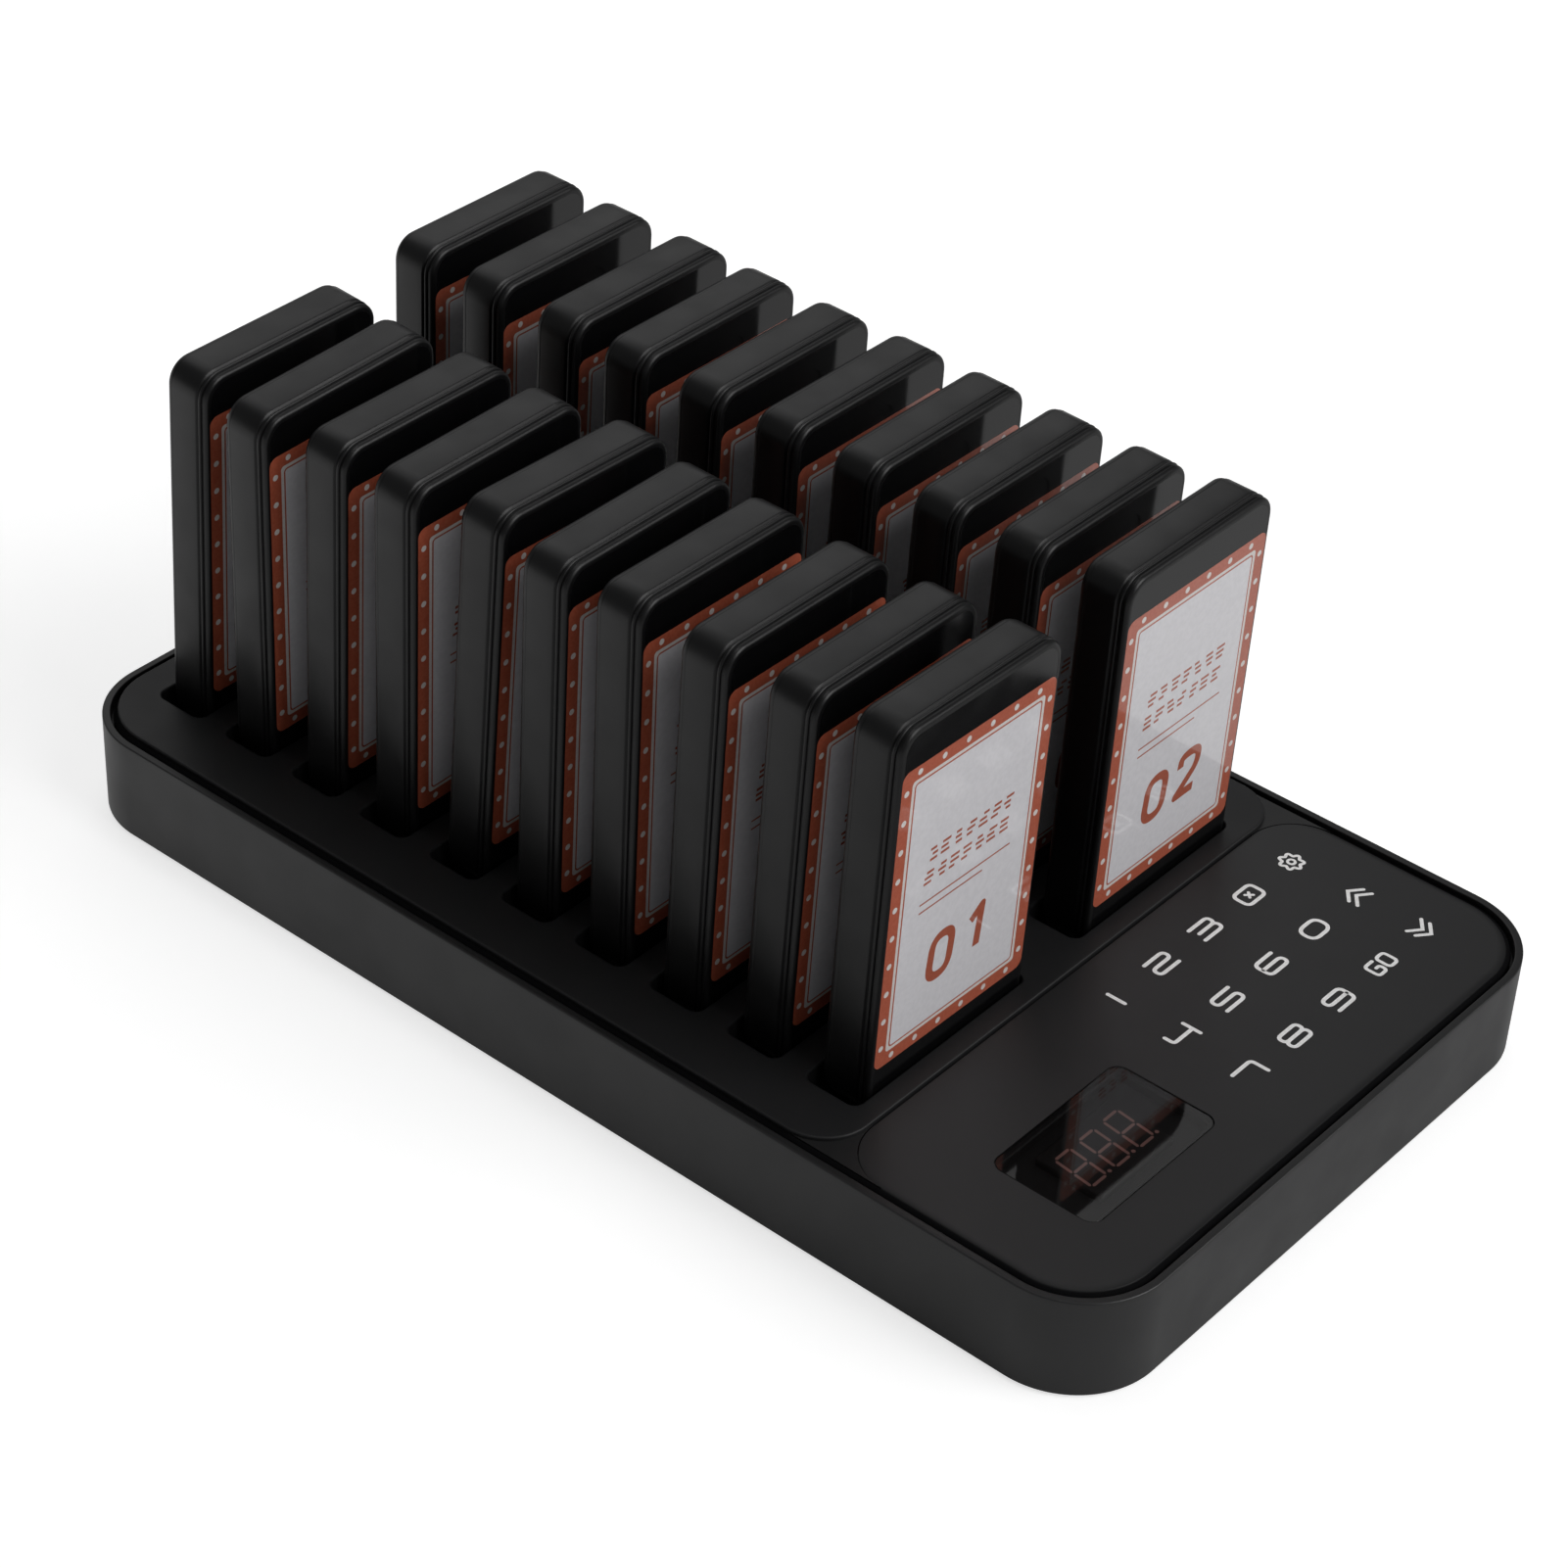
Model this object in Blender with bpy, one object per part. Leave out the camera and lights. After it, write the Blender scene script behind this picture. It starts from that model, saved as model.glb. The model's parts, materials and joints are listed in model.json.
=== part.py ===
"""A charging base with a touch keypad, and twenty card pagers that stand in its slots.

Lengths below are in millimetres and are turned into metres where a mesh is made.
+Z is up, -Y is the keypad end, +X is to the right for someone who reads the keypad.
The rubber feet stand on Z = 0, and the plan centre of the base is X = Y = 0.
"""

import math

import bmesh
import bpy
from mathutils import Euler, Matrix, Vector

MM = 0.001

# Base: outer tub and the cover that sits inside its rim.
BASE_HALF_X = 93.0
BASE_HALF_Y = 164.6
BASE_CORNER = 23.6
TUB_BOTTOM = 0.5
RIM_TOP = 28.6
TUB_DRAFT = 0.1
TUB_WALL = 2.4
FLOOR_TOP = 3.8
COVER_INSET = 2.8
COVER_CORNER = BASE_CORNER - COVER_INSET
COVER_UNDERSIDE = 25.4
LEDGE_INSET = 5.4
LEDGE_TOP = 25.1
PLATFORM_TOP = 29.6
PLATFORM_FRONT = -86.2
PLATFORM_FRONT_CORNER = 13.0
PLATFORM_INSET = 0.5

# Keypad inlay, display window and the boards below them.
INLAY_HALF_X = 88.9
INLAY_FRONT = -160.5
INLAY_REAR = -86.6
INLAY_THICK = 0.8
INLAY_FRONT_CORNER = 19.5
INLAY_REAR_CORNER = 14.5
FIT_GAP = 0.3
WINDOW_CENTRE = (-42.6, -128.3)
WINDOW_SIZE = (47.2, 29.2)
WINDOW_CORNER = 3.2
DISPLAY_SIZE = (27.6, 19.0)
DISPLAY_BOTTOM = 18.9
DISPLAY_TOP = 26.9
BOARD_THICK = 1.6
MAIN_BOARD_X = (-74.0, 74.0)
MAIN_BOARD_Y = (-151.0, -93.0)
MAIN_BOARD_TOP = 18.6
TOUCH_BOARD = ((-10.0, 82.0), (-149.0, -91.0), (23.5, 24.7))

# Parts on the main board: chips as (x range, y range, height), then the two round capacitors.
CHIPS = (
    ((-6.0, 6.0), (-126.0, -114.0), 1.2),
    ((22.0, 34.0), (-112.0, -106.0), 1.6),
    ((48.0, 64.0), (-146.0, -139.0), 3.4),
)
CAPACITOR_CENTRES = ((18.0, -140.0), (28.0, -140.0))
CAPACITOR_RADIUS = 3.2
CAPACITOR_HEIGHT = 4.0
SUNK = 0.4
BUZZER_CENTRE = (-66.0, -141.0)
BUZZER_RADIUS = 6.0
BUZZER_HEIGHT = 5.0
BUZZER_EDGE = 0.5
BUZZER_HOLE = 1.2
BUZZER_HOLE_DEPTH = 2.8
ANTENNA_START = (-62.0, -101.0, 21.8)
ANTENNA_LENGTH = 30.0
ANTENNA_TURNS = 6
ANTENNA_RADIUS = 2.3
ANTENNA_WIRE = 0.45

# Slots: two rows of ten, one pitch apart from front to rear.
SLOT_COUNT = 10
SLOT_PITCH = 24.0
SLOT_FIRST_Y = -72.55
SLOT_ROW_X = 41.4
SLOT_LENGTH = 63.4
SLOT_WIDTH = 15.7
SLOT_CORNER = 2.6
ROW_BLOCK_MARGIN = 2.6
ROW_BLOCK_BOTTOM = 20.1
CHARGE_BOARD_TOP = 19.6
CHARGE_BOARD_MARGIN = 1.5
CHARGE_BOARD_END = 10.0
CONTACT_TOP = 20.3
CONTACT_OFFSET = 9.0
CONTACT_HALF_X = 2.0
CONTACT_HALF_Y = 3.0

# Posts under the boards, the feet, and the power socket in the rear wall.
POST_RADIUS = 3.2
CHARGE_POSTS_Y = (-60.0, 35.0, 130.0)
MAIN_POSTS_X = (-68.0, 68.0)
MAIN_POSTS_Y = (-145.0, -99.0)
FOOT_CENTRE = (72.0, 143.0)
FOOT_RADIUS = 7.0
FOOT_TREAD = 6.4
FOOT_CHAMFER = 0.5
FOOT_HEIGHT = 2.2
FOOT_RECESS_TOP = 2.5
JACK_X = 41.4
JACK_Z = 11.5
JACK_REAR_Y = 148.0
JACK_BODY_RADIUS = 5.6
JACK_BODY_LENGTH = 13.6
JACK_NOSE_RADIUS = 4.4
JACK_LENGTH = 16.2
JACK_SOCKET_RADIUS = 2.8
JACK_SOCKET_FLOOR = 6.5
JACK_PIN_RADIUS = 1.05
JACK_PIN_END = 15.2
JACK_PIN_TIP = 0.6
JACK_HOLE_RADIUS = 4.8
JACK_HOLE_Y = 158.0
JACK_HOLE_LENGTH = 12.0

# One pager. Its own origin is the middle of its lower edge, and its face looks along -Y.
PAGER_WIDTH = 57.5
PAGER_HEIGHT = 108.5
PAGER_DEPTH = 14.2
PAGER_CORNER = 6.6
PAGER_WALL = 1.8
FRONT_DEPTH = 2.9
PARTING_GAP = 0.3
PAGER_REST = 20.6

# Inside a pager: x, height and depth ranges, depth measured back from the face.
PAGER_BOARD = ((-25.0, 25.0), (10.0, 98.0), (3.6, 4.8))
PAGER_CELL = ((-18.0, 18.0), (34.0, 74.0), (5.4, 10.6))
MOTOR_START = (-6.0, 88.0, 8.6)
MOTOR_RADIUS = 3.3
MOTOR_LENGTH = 12.0

# How each loose pager stands, from the keypad end to the rear: degrees of lean towards the
# keypad, degrees of sideways tilt, and millimetres that it has slid along its slot. The right-hand
# row stands without sideways tilt.
LEFT_LEAN = (0.8, 1.5, 1.1, 0.1, 1.3, 1.8, 1.9, 2.0, 2.8, 3.0)
LEFT_TILT = (0.9, 0.2, 0.2, 0.3, -0.4, 1.4, -0.9, -0.2, -1.9, -0.4)
LEFT_SLIDE = (1.9, 1.7, 0.8, 1.1, 1.5, 2.0, 1.7, 1.4, 0.5, 1.0)
RIGHT_LEAN = (0.8, 1.5, 1.4, 1.1, 0.9, 1.0, 0.7, 1.4, 0.7, 0.6)
RIGHT_SLIDE = (2.0, -0.9, -1.1, -1.0, -0.9, -1.6, -1.4, -1.0, -1.6, -1.2)

BLACK_ABS = (0.012, 0.012, 0.013)
GLOSS_BLACK = (0.006, 0.006, 0.007)
BOARD_GREEN = (0.010, 0.060, 0.022)
GOLD = (0.75, 0.52, 0.20)
RUBBER = (0.010, 0.010, 0.010)


def clear_scene():
    for obj in list(bpy.data.objects):
        bpy.data.objects.remove(obj, do_unlink=True)


def material(name, colour, roughness, metallic=0.0):
    made = bpy.data.materials.new(name)
    made.use_nodes = True
    shader = made.node_tree.nodes["Principled BSDF"]
    shader.inputs["Base Color"].default_value = (*colour, 1.0)
    shader.inputs["Roughness"].default_value = roughness
    shader.inputs["Metallic"].default_value = metallic
    return made


def rounded(x_range, y_range, radii, steps=4):
    """Outline of a rounded rectangle, anticlockwise. radii: right-rear, left-rear, left-front, right-front."""
    (x0, x1), (y0, y1) = x_range, y_range
    if not isinstance(radii, tuple):
        radii = (radii, radii, radii, radii)
    corners = ((x1, y1, 1, 1), (x0, y1, -1, 1), (x0, y0, -1, -1), (x1, y0, 1, -1))
    points = []
    for turn, ((x, y, sx, sy), radius) in enumerate(zip(corners, radii)):
        cx = x - sx * radius
        cy = y - sy * radius
        for step in range(steps + 1):
            angle = math.radians(90.0 * turn + 90.0 * step / steps)
            points.append((cx + radius * math.cos(angle), cy + radius * math.sin(angle)))
    return points


def centred(half_x, half_y, corner, inset=0.0, steps=4):
    radius = max(corner - inset, 0.4)
    x = half_x - inset
    y = half_y - inset
    return rounded((-x, x), (-y, y), radius, steps)


def level(outline, z):
    return [(x, y, z) for x, y in outline]


def loft(rings):
    """Closed bmesh through rings of the same count, with a flat cap on the first and the last."""
    body = bmesh.new()
    rows = [[body.verts.new(Vector(point) * MM) for point in ring] for ring in rings]
    count = len(rings[0])
    for lower, upper in zip(rows, rows[1:]):
        for i in range(count):
            j = (i + 1) % count
            body.faces.new((lower[i], lower[j], upper[j], upper[i]))
    body.faces.new(list(reversed(rows[0])))
    body.faces.new(rows[-1])
    bmesh.ops.recalc_face_normals(body, faces=body.faces)
    return body


def prism(outline, z0, z1):
    return loft([level(outline, z0), level(outline, z1)])


def box(x_range, y_range, z_range):
    (x0, x1), (y0, y1), (z0, z1) = x_range, y_range, z_range
    return prism([(x1, y1), (x0, y1), (x0, y0), (x1, y0)], z0, z1)


def disc(centre, radius, z0, z1, sides=24):
    turn = [2 * math.pi * i / sides for i in range(sides)]
    outline = [(centre[0] + radius * math.cos(a), centre[1] + radius * math.sin(a)) for a in turn]
    return prism(outline, z0, z1)


def joined(bodies):
    """One bmesh that holds several separate bodies, for use as a Boolean's other object."""
    whole = bmesh.new()
    for body in bodies:
        part = bpy.data.meshes.new("part")
        body.to_mesh(part)
        body.free()
        whole.from_mesh(part)
        bpy.data.meshes.remove(part)
    return whole


def node(name, body, surface, smooth_under=None):
    mesh = bpy.data.meshes.new(name)
    body.to_mesh(mesh)
    body.free()
    obj = bpy.data.objects.new(name, mesh)
    bpy.context.scene.collection.objects.link(obj)
    if surface is not None:
        mesh.materials.append(surface)
    if smooth_under is not None:
        mesh.shade_smooth()
        mesh.set_sharp_from_angle(angle=math.radians(smooth_under))
    return obj


def boolean(obj, body, operation, label):
    """Adds a Boolean modifier whose other object is a hidden wire helper."""
    helper = node(f"{obj.name}_{label}_helper", body, None)
    helper.hide_render = True
    helper.display_type = "WIRE"
    step = obj.modifiers.new(label, "BOOLEAN")
    step.operation = operation
    step.solver = "EXACT"
    step.object = helper
    return obj


def lathe(profile, sides, place):
    """Solid of revolution about Z from (radius, height) pairs that start and end on the axis."""
    body = bmesh.new()
    rings = []
    for radius, height in profile:
        if radius == 0.0:
            rings.append([body.verts.new(place @ Vector((0.0, 0.0, height * MM)))])
            continue
        ring = []
        for i in range(sides):
            angle = 2 * math.pi * i / sides
            point = Vector((radius * math.cos(angle), radius * math.sin(angle), height)) * MM
            ring.append(body.verts.new(place @ point))
        rings.append(ring)
    for lower, upper in zip(rings, rings[1:]):
        for i in range(sides):
            j = (i + 1) % sides
            if len(lower) == 1:
                body.faces.new((lower[0], upper[j], upper[i]))
            elif len(upper) == 1:
                body.faces.new((lower[i], lower[j], upper[0]))
            else:
                body.faces.new((lower[i], lower[j], upper[j], upper[i]))
    bmesh.ops.recalc_face_normals(body, faces=body.faces)
    return body


def slot_y(row):
    return SLOT_FIRST_Y + SLOT_PITCH * row


def slot_x_range(side):
    middle = side * SLOT_ROW_X
    return (middle - SLOT_LENGTH / 2, middle + SLOT_LENGTH / 2)


# ---------------------------------------------------------------- base


def make_tub(surface):
    def ring(inset, z, corner=BASE_CORNER):
        return level(centred(BASE_HALF_X, BASE_HALF_Y, corner, inset, 6), z)

    rings = [
        ring(1.5, TUB_BOTTOM),
        ring(0.5, TUB_BOTTOM + 0.4),
        ring(TUB_DRAFT, TUB_BOTTOM + 1.4),
        ring(0.0, RIM_TOP - 0.7),
        ring(0.6, RIM_TOP),
        ring(COVER_INSET - 0.7, RIM_TOP),
        ring(COVER_INSET - 0.5, RIM_TOP - 0.3),
        ring(COVER_INSET - 0.5, LEDGE_TOP),
        ring(LEDGE_INSET, LEDGE_TOP),
        ring(LEDGE_INSET, LEDGE_TOP - 1.4),
        ring(TUB_WALL, LEDGE_TOP - 4.2),
        ring(TUB_WALL + 0.3, FLOOR_TOP + 1.0),
        ring(TUB_WALL + 1.3, FLOOR_TOP),
    ]
    tub = node("base_tub", loft(rings), surface, 40)

    under = BOARD_THICK + FIT_GAP
    stands = [(-SLOT_ROW_X, y, CHARGE_BOARD_TOP - under) for y in CHARGE_POSTS_Y]
    stands += [(SLOT_ROW_X, y, CHARGE_BOARD_TOP - under) for y in CHARGE_POSTS_Y]
    stands += [(x, y, MAIN_BOARD_TOP - under) for x in MAIN_POSTS_X for y in MAIN_POSTS_Y]
    posts = [disc((x, y), POST_RADIUS, FLOOR_TOP - 1.0, top, 10) for x, y, top in stands]
    boolean(tub, joined(posts), "UNION", "posts")

    cuts = [disc(centre, FOOT_RADIUS + FIT_GAP, 0.0, FOOT_RECESS_TOP, 20) for centre in foot_centres()]
    hole = [(0.0, 0.0), (JACK_HOLE_RADIUS, 0.0), (JACK_HOLE_RADIUS, JACK_HOLE_LENGTH), (0.0, JACK_HOLE_LENGTH)]
    cuts.append(lathe(hole, 16, towards_rear(JACK_HOLE_Y)))
    boolean(tub, joined(cuts), "DIFFERENCE", "cuts")
    return tub


def towards_rear(y):
    """Places a lathe's axis along +Y, in line with the power socket."""
    return Matrix.Translation(Vector((JACK_X, y, JACK_Z)) * MM) @ Matrix.Rotation(-math.pi / 2, 4, "X")


def foot_centres():
    x, y = FOOT_CENTRE
    return [(-x, -y), (x, -y), (-x, y), (x, y)]


def make_feet(surface):
    names = ("foot_front_left", "foot_front_right", "foot_rear_left", "foot_rear_right")
    for name, centre in zip(names, foot_centres()):
        place = Matrix.Translation(Vector((*centre, 0.0)) * MM)
        profile = [(0.0, 0.0), (FOOT_TREAD, 0.0), (FOOT_RADIUS, FOOT_CHAMFER)]
        profile += [(FOOT_RADIUS, FOOT_HEIGHT), (0.0, FOOT_HEIGHT)]
        node(name, lathe(profile, 20, place), surface, 40)


def make_cover(surface):
    def ring(inset, z):
        half_x = BASE_HALF_X - COVER_INSET
        half_y = BASE_HALF_Y - COVER_INSET
        return level(centred(half_x, half_y, COVER_CORNER, inset, 6), z)

    rings = [ring(0.0, COVER_UNDERSIDE), ring(0.0, RIM_TOP - 0.25), ring(0.3, RIM_TOP)]
    cover = node("top_cover", loft(rings), surface, 40)

    side = BASE_HALF_X - COVER_INSET - PLATFORM_INSET
    rear = BASE_HALF_Y - COVER_INSET - PLATFORM_INSET

    def step(inset, z):
        far = COVER_CORNER - PLATFORM_INSET - inset
        near = PLATFORM_FRONT_CORNER - inset
        x_range = (-side + inset, side - inset)
        y_range = (PLATFORM_FRONT + inset, rear - inset)
        return level(rounded(x_range, y_range, (far, far, near, near), 6), z)

    rings = [step(0.0, COVER_UNDERSIDE + 1.0), step(0.0, PLATFORM_TOP - 0.35), step(0.35, PLATFORM_TOP)]
    boolean(cover, loft(rings), "UNION", "platform")

    blocks = []
    for row_side in (-1, 1):
        x0, x1 = slot_x_range(row_side)
        x_range = (x0 - ROW_BLOCK_MARGIN, x1 + ROW_BLOCK_MARGIN)
        y0 = slot_y(0) - SLOT_WIDTH / 2 - ROW_BLOCK_MARGIN
        y1 = slot_y(SLOT_COUNT - 1) + SLOT_WIDTH / 2 + ROW_BLOCK_MARGIN
        blocks.append(box(x_range, (y0, y1), (ROW_BLOCK_BOTTOM, COVER_UNDERSIDE + 1.6)))
    boolean(cover, joined(blocks), "UNION", "rows")

    slots = []
    for row_side in (-1, 1):
        for row in range(SLOT_COUNT):
            y_range = (slot_y(row) - SLOT_WIDTH / 2, slot_y(row) + SLOT_WIDTH / 2)
            outline = rounded(slot_x_range(row_side), y_range, SLOT_CORNER, 3)
            slots.append(prism(outline, ROW_BLOCK_BOTTOM - 2.0, PLATFORM_TOP + 2.0))
    boolean(cover, joined(slots), "DIFFERENCE", "slots")

    inlay = inlay_outline(-FIT_GAP / 2)
    wx, wy = WINDOW_CENTRE
    hx = WINDOW_SIZE[0] / 2 - 1.2
    hy = WINDOW_SIZE[1] / 2 - 1.2
    hole = rounded((wx - hx, wx + hx), (wy - hy, wy + hy), WINDOW_CORNER - 1.2, 3)
    recess = prism(inlay, RIM_TOP - INLAY_THICK - 0.1, RIM_TOP + 0.6)
    boolean(cover, recess, "DIFFERENCE", "recess")
    boolean(cover, prism(hole, COVER_UNDERSIDE - 1.0, RIM_TOP), "DIFFERENCE", "window")
    return cover


def inlay_outline(inset):
    front = INLAY_FRONT_CORNER - inset
    rear = INLAY_REAR_CORNER - inset
    x_range = (-INLAY_HALF_X + inset, INLAY_HALF_X - inset)
    y_range = (INLAY_FRONT + inset, INLAY_REAR - inset)
    return rounded(x_range, y_range, (rear, rear, front, front), 6)


def window_outline(inset):
    wx, wy = WINDOW_CENTRE
    hx = WINDOW_SIZE[0] / 2 - inset
    hy = WINDOW_SIZE[1] / 2 - inset
    return rounded((wx - hx, wx + hx), (wy - hy, wy + hy), WINDOW_CORNER - inset, 4)


def make_keypad(surface, smoked):
    top = RIM_TOP
    body = prism(inlay_outline(0.0), top - INLAY_THICK, top)
    panel = node("keypad_panel", body, surface)
    boolean(panel, prism(window_outline(-FIT_GAP / 2), top - 3.0, top + 1.0), "DIFFERENCE", "window")
    node("display_window", prism(window_outline(0.0), top - INLAY_THICK, top), smoked)


def make_electronics(surfaces):
    wx, wy = WINDOW_CENTRE
    hx = DISPLAY_SIZE[0] / 2
    hy = DISPLAY_SIZE[1] / 2
    display = box((wx - hx, wx + hx), (wy - hy, wy + hy), (DISPLAY_BOTTOM, DISPLAY_TOP))
    node("led_display", display, surfaces["display"])

    board = box(MAIN_BOARD_X, MAIN_BOARD_Y, (MAIN_BOARD_TOP - BOARD_THICK, MAIN_BOARD_TOP))
    main = node("main_board", board, surfaces["board"])
    low = MAIN_BOARD_TOP - SUNK
    parts = [box(x_range, y_range, (low, MAIN_BOARD_TOP + height)) for x_range, y_range, height in CHIPS]
    high = MAIN_BOARD_TOP + CAPACITOR_HEIGHT
    parts += [disc(centre, CAPACITOR_RADIUS, low, high, 12) for centre in CAPACITOR_CENTRES]
    boolean(main, joined(parts), "UNION", "parts")

    node("touch_board", box(*TOUCH_BOARD), surfaces["board"])

    for label, side in (("left", -1), ("right", 1)):
        x0, x1 = slot_x_range(side)
        x_range = (x0 - CHARGE_BOARD_MARGIN, x1 + CHARGE_BOARD_MARGIN)
        y_range = (slot_y(0) - CHARGE_BOARD_END, slot_y(SLOT_COUNT - 1) + CHARGE_BOARD_END)
        strip = box(x_range, y_range, (CHARGE_BOARD_TOP - BOARD_THICK, CHARGE_BOARD_TOP))
        board = node(f"charge_board_{label}", strip, surfaces["board"])
        pads = []
        for row in range(SLOT_COUNT):
            for offset in (-CONTACT_OFFSET, CONTACT_OFFSET):
                x = side * SLOT_ROW_X + offset
                y = slot_y(row)
                x_range = (x - CONTACT_HALF_X, x + CONTACT_HALF_X)
                y_range = (y - CONTACT_HALF_Y, y + CONTACT_HALF_Y)
                pads.append(box(x_range, y_range, (CHARGE_BOARD_TOP - SUNK, CONTACT_TOP)))
        boolean(board, joined(pads), "UNION", "contacts")

    place = Matrix.Translation(Vector((*BUZZER_CENTRE, MAIN_BOARD_TOP + FIT_GAP)) * MM)
    floor = BUZZER_HEIGHT - BUZZER_HOLE_DEPTH
    profile = [(0.0, 0.0), (BUZZER_RADIUS, 0.0), (BUZZER_RADIUS, BUZZER_HEIGHT - BUZZER_EDGE)]
    profile += [(BUZZER_RADIUS - BUZZER_EDGE, BUZZER_HEIGHT), (BUZZER_HOLE, BUZZER_HEIGHT)]
    profile += [(BUZZER_HOLE, floor), (0.0, floor)]
    node("buzzer", lathe(profile, 20, place), surfaces["plastic"], 40)

    profile = [(0.0, 0.0), (JACK_BODY_RADIUS, 0.0), (JACK_BODY_RADIUS, JACK_BODY_LENGTH)]
    profile += [(JACK_NOSE_RADIUS, JACK_BODY_LENGTH), (JACK_NOSE_RADIUS, JACK_LENGTH)]
    profile += [(JACK_SOCKET_RADIUS, JACK_LENGTH), (JACK_SOCKET_RADIUS, JACK_SOCKET_FLOOR)]
    profile += [(JACK_PIN_RADIUS, JACK_SOCKET_FLOOR), (JACK_PIN_RADIUS, JACK_PIN_END - JACK_PIN_TIP)]
    profile += [(0.0, JACK_PIN_END)]
    node("power_jack", lathe(profile, 16, towards_rear(JACK_REAR_Y)), surfaces["plastic"], 40)
    make_antenna(surfaces["metal"])


def make_antenna(surface):
    """Coil of round wire along X: a tube swept on a helix, with flat ends."""
    per_turn = 10
    sides = 6
    steps = ANTENNA_TURNS * per_turn
    rings = []
    for i in range(steps + 1):
        angle = 2 * math.pi * i / per_turn
        centre = Vector(ANTENNA_START) + Vector((ANTENNA_LENGTH * i / steps, 0.0, 0.0))
        out = Vector((0.0, math.cos(angle), math.sin(angle)))
        ring = []
        for k in range(sides):
            turn = 2 * math.pi * k / sides
            along = Vector((ANTENNA_WIRE * math.sin(turn), 0.0, 0.0))
            ring.append(tuple(centre + out * (ANTENNA_RADIUS + ANTENNA_WIRE * math.cos(turn)) + along))
        rings.append(ring)
    node("antenna_coil", loft(rings), surface, 60)


# ---------------------------------------------------------------- pagers


def pager_ring(inset, depth):
    """Portrait rounded outline, standing on Z = 0, at a depth measured back from the face."""
    half_x = PAGER_WIDTH / 2 - inset
    z_range = (inset, PAGER_HEIGHT - inset)
    radius = max(PAGER_CORNER - inset, 0.4)
    outline = rounded((-half_x, half_x), z_range, radius, 3)
    return [(x, depth - PAGER_DEPTH / 2, z) for x, z in outline]


def case_body():
    rings = [
        pager_ring(2.2, PAGER_DEPTH),
        pager_ring(0.8, PAGER_DEPTH - 0.5),
        pager_ring(0.0, PAGER_DEPTH - 2.2),
        pager_ring(0.0, FRONT_DEPTH + PARTING_GAP),
        pager_ring(PAGER_WALL, FRONT_DEPTH + PARTING_GAP),
        pager_ring(PAGER_WALL, PAGER_DEPTH - PAGER_WALL),
    ]
    return loft(rings)


def front_body():
    rings = [
        pager_ring(0.0, FRONT_DEPTH),
        pager_ring(0.0, 1.3),
        pager_ring(0.45, 0.35),
        pager_ring(1.2, 0.0),
    ]
    return loft(rings)


def pager_inside():
    """Circuit board, cell and vibration motor: (name, body) in the pager's own frame."""
    face = -PAGER_DEPTH / 2
    blocks = []
    for name, (x_range, z_range, (near, far)) in (("board", PAGER_BOARD), ("cell", PAGER_CELL)):
        blocks.append((name, box(x_range, (face + near, face + far), z_range)))
    x, height, depth = MOTOR_START
    place = Matrix.Translation(Vector((x, face + depth, height)) * MM) @ Matrix.Rotation(math.pi / 2, 4, "Y")
    profile = [(0.0, 0.0), (MOTOR_RADIUS, 0.0), (MOTOR_RADIUS, MOTOR_LENGTH), (0.0, MOTOR_LENGTH)]
    return blocks + [("motor", lathe(profile, 14, place))]


def pager_pose(side, row):
    """World matrix of one pager: it leans and tilts about its lower edge, just clear of the contacts."""
    if side < 0:
        lean, tilt, slide = LEFT_LEAN[row], LEFT_TILT[row], LEFT_SLIDE[row]
    else:
        lean, tilt, slide = RIGHT_LEAN[row], 0.0, RIGHT_SLIDE[row]
    lean = math.radians(lean)
    tilt = math.radians(tilt)
    lift = (PAGER_WIDTH / 2 - 2.0) * abs(math.sin(tilt)) + PAGER_DEPTH / 2 * math.sin(lean)
    spot = Vector((side * SLOT_ROW_X + slide, slot_y(row) + 0.05, PAGER_REST + lift)) * MM
    turn = Euler((lean, tilt, 0.0), "YXZ").to_matrix().to_4x4()
    return Matrix.Translation(spot) @ turn


def make_pagers(surfaces):
    for side in (-1, 1):
        for row in range(SLOT_COUNT):
            number = 2 * row + (1 if side < 0 else 2)
            pose = pager_pose(side, row)
            case = node(f"pager_{number:02d}_case", case_body(), surfaces["case"], 35)
            front = node(f"pager_{number:02d}_front", front_body(), surfaces["front"], 35)
            pieces = [case, front]
            if number == 1:
                for name, body in pager_inside():
                    surface = surfaces["metal"] if name == "motor" else surfaces["board"]
                    pieces.append(node(f"pager_01_{name}", body, surface))
            for piece in pieces:
                piece.matrix_world = pose


def main():
    clear_scene()
    abs_black = material("matte_black_abs", BLACK_ABS, 0.55)
    surfaces = {
        "plastic": abs_black,
        "case": material("pager_case_abs", BLACK_ABS, 0.42),
        "front": material("pager_front_gloss", GLOSS_BLACK, 0.08),
        "board": material("circuit_board", BOARD_GREEN, 0.4),
        "metal": material("plated_metal", GOLD, 0.25, 1.0),
        "display": material("led_display_body", (0.03, 0.03, 0.03), 0.4),
    }
    make_tub(abs_black)
    make_cover(material("cover_abs", BLACK_ABS, 0.6))
    make_keypad(material("keypad_film", BLACK_ABS, 0.5), material("smoked_acrylic", (0.01, 0.01, 0.01), 0.05))
    make_feet(material("rubber", RUBBER, 0.8))
    make_electronics(surfaces)
    make_pagers(surfaces)


main()
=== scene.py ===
"""Paging set: a charging base with a touch keypad, and twenty card pagers that stand in its slots.

Lengths are in millimetres and turn into metres where a mesh is made. +Z is up, -Y is the keypad end.
Every outline is an array of points with outward normals, and every moulded piece is a profile
carried round such an outline.
"""

import json
import math

import bmesh
import bpy
import numpy as np
from mathutils import Euler, Matrix, Vector


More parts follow.
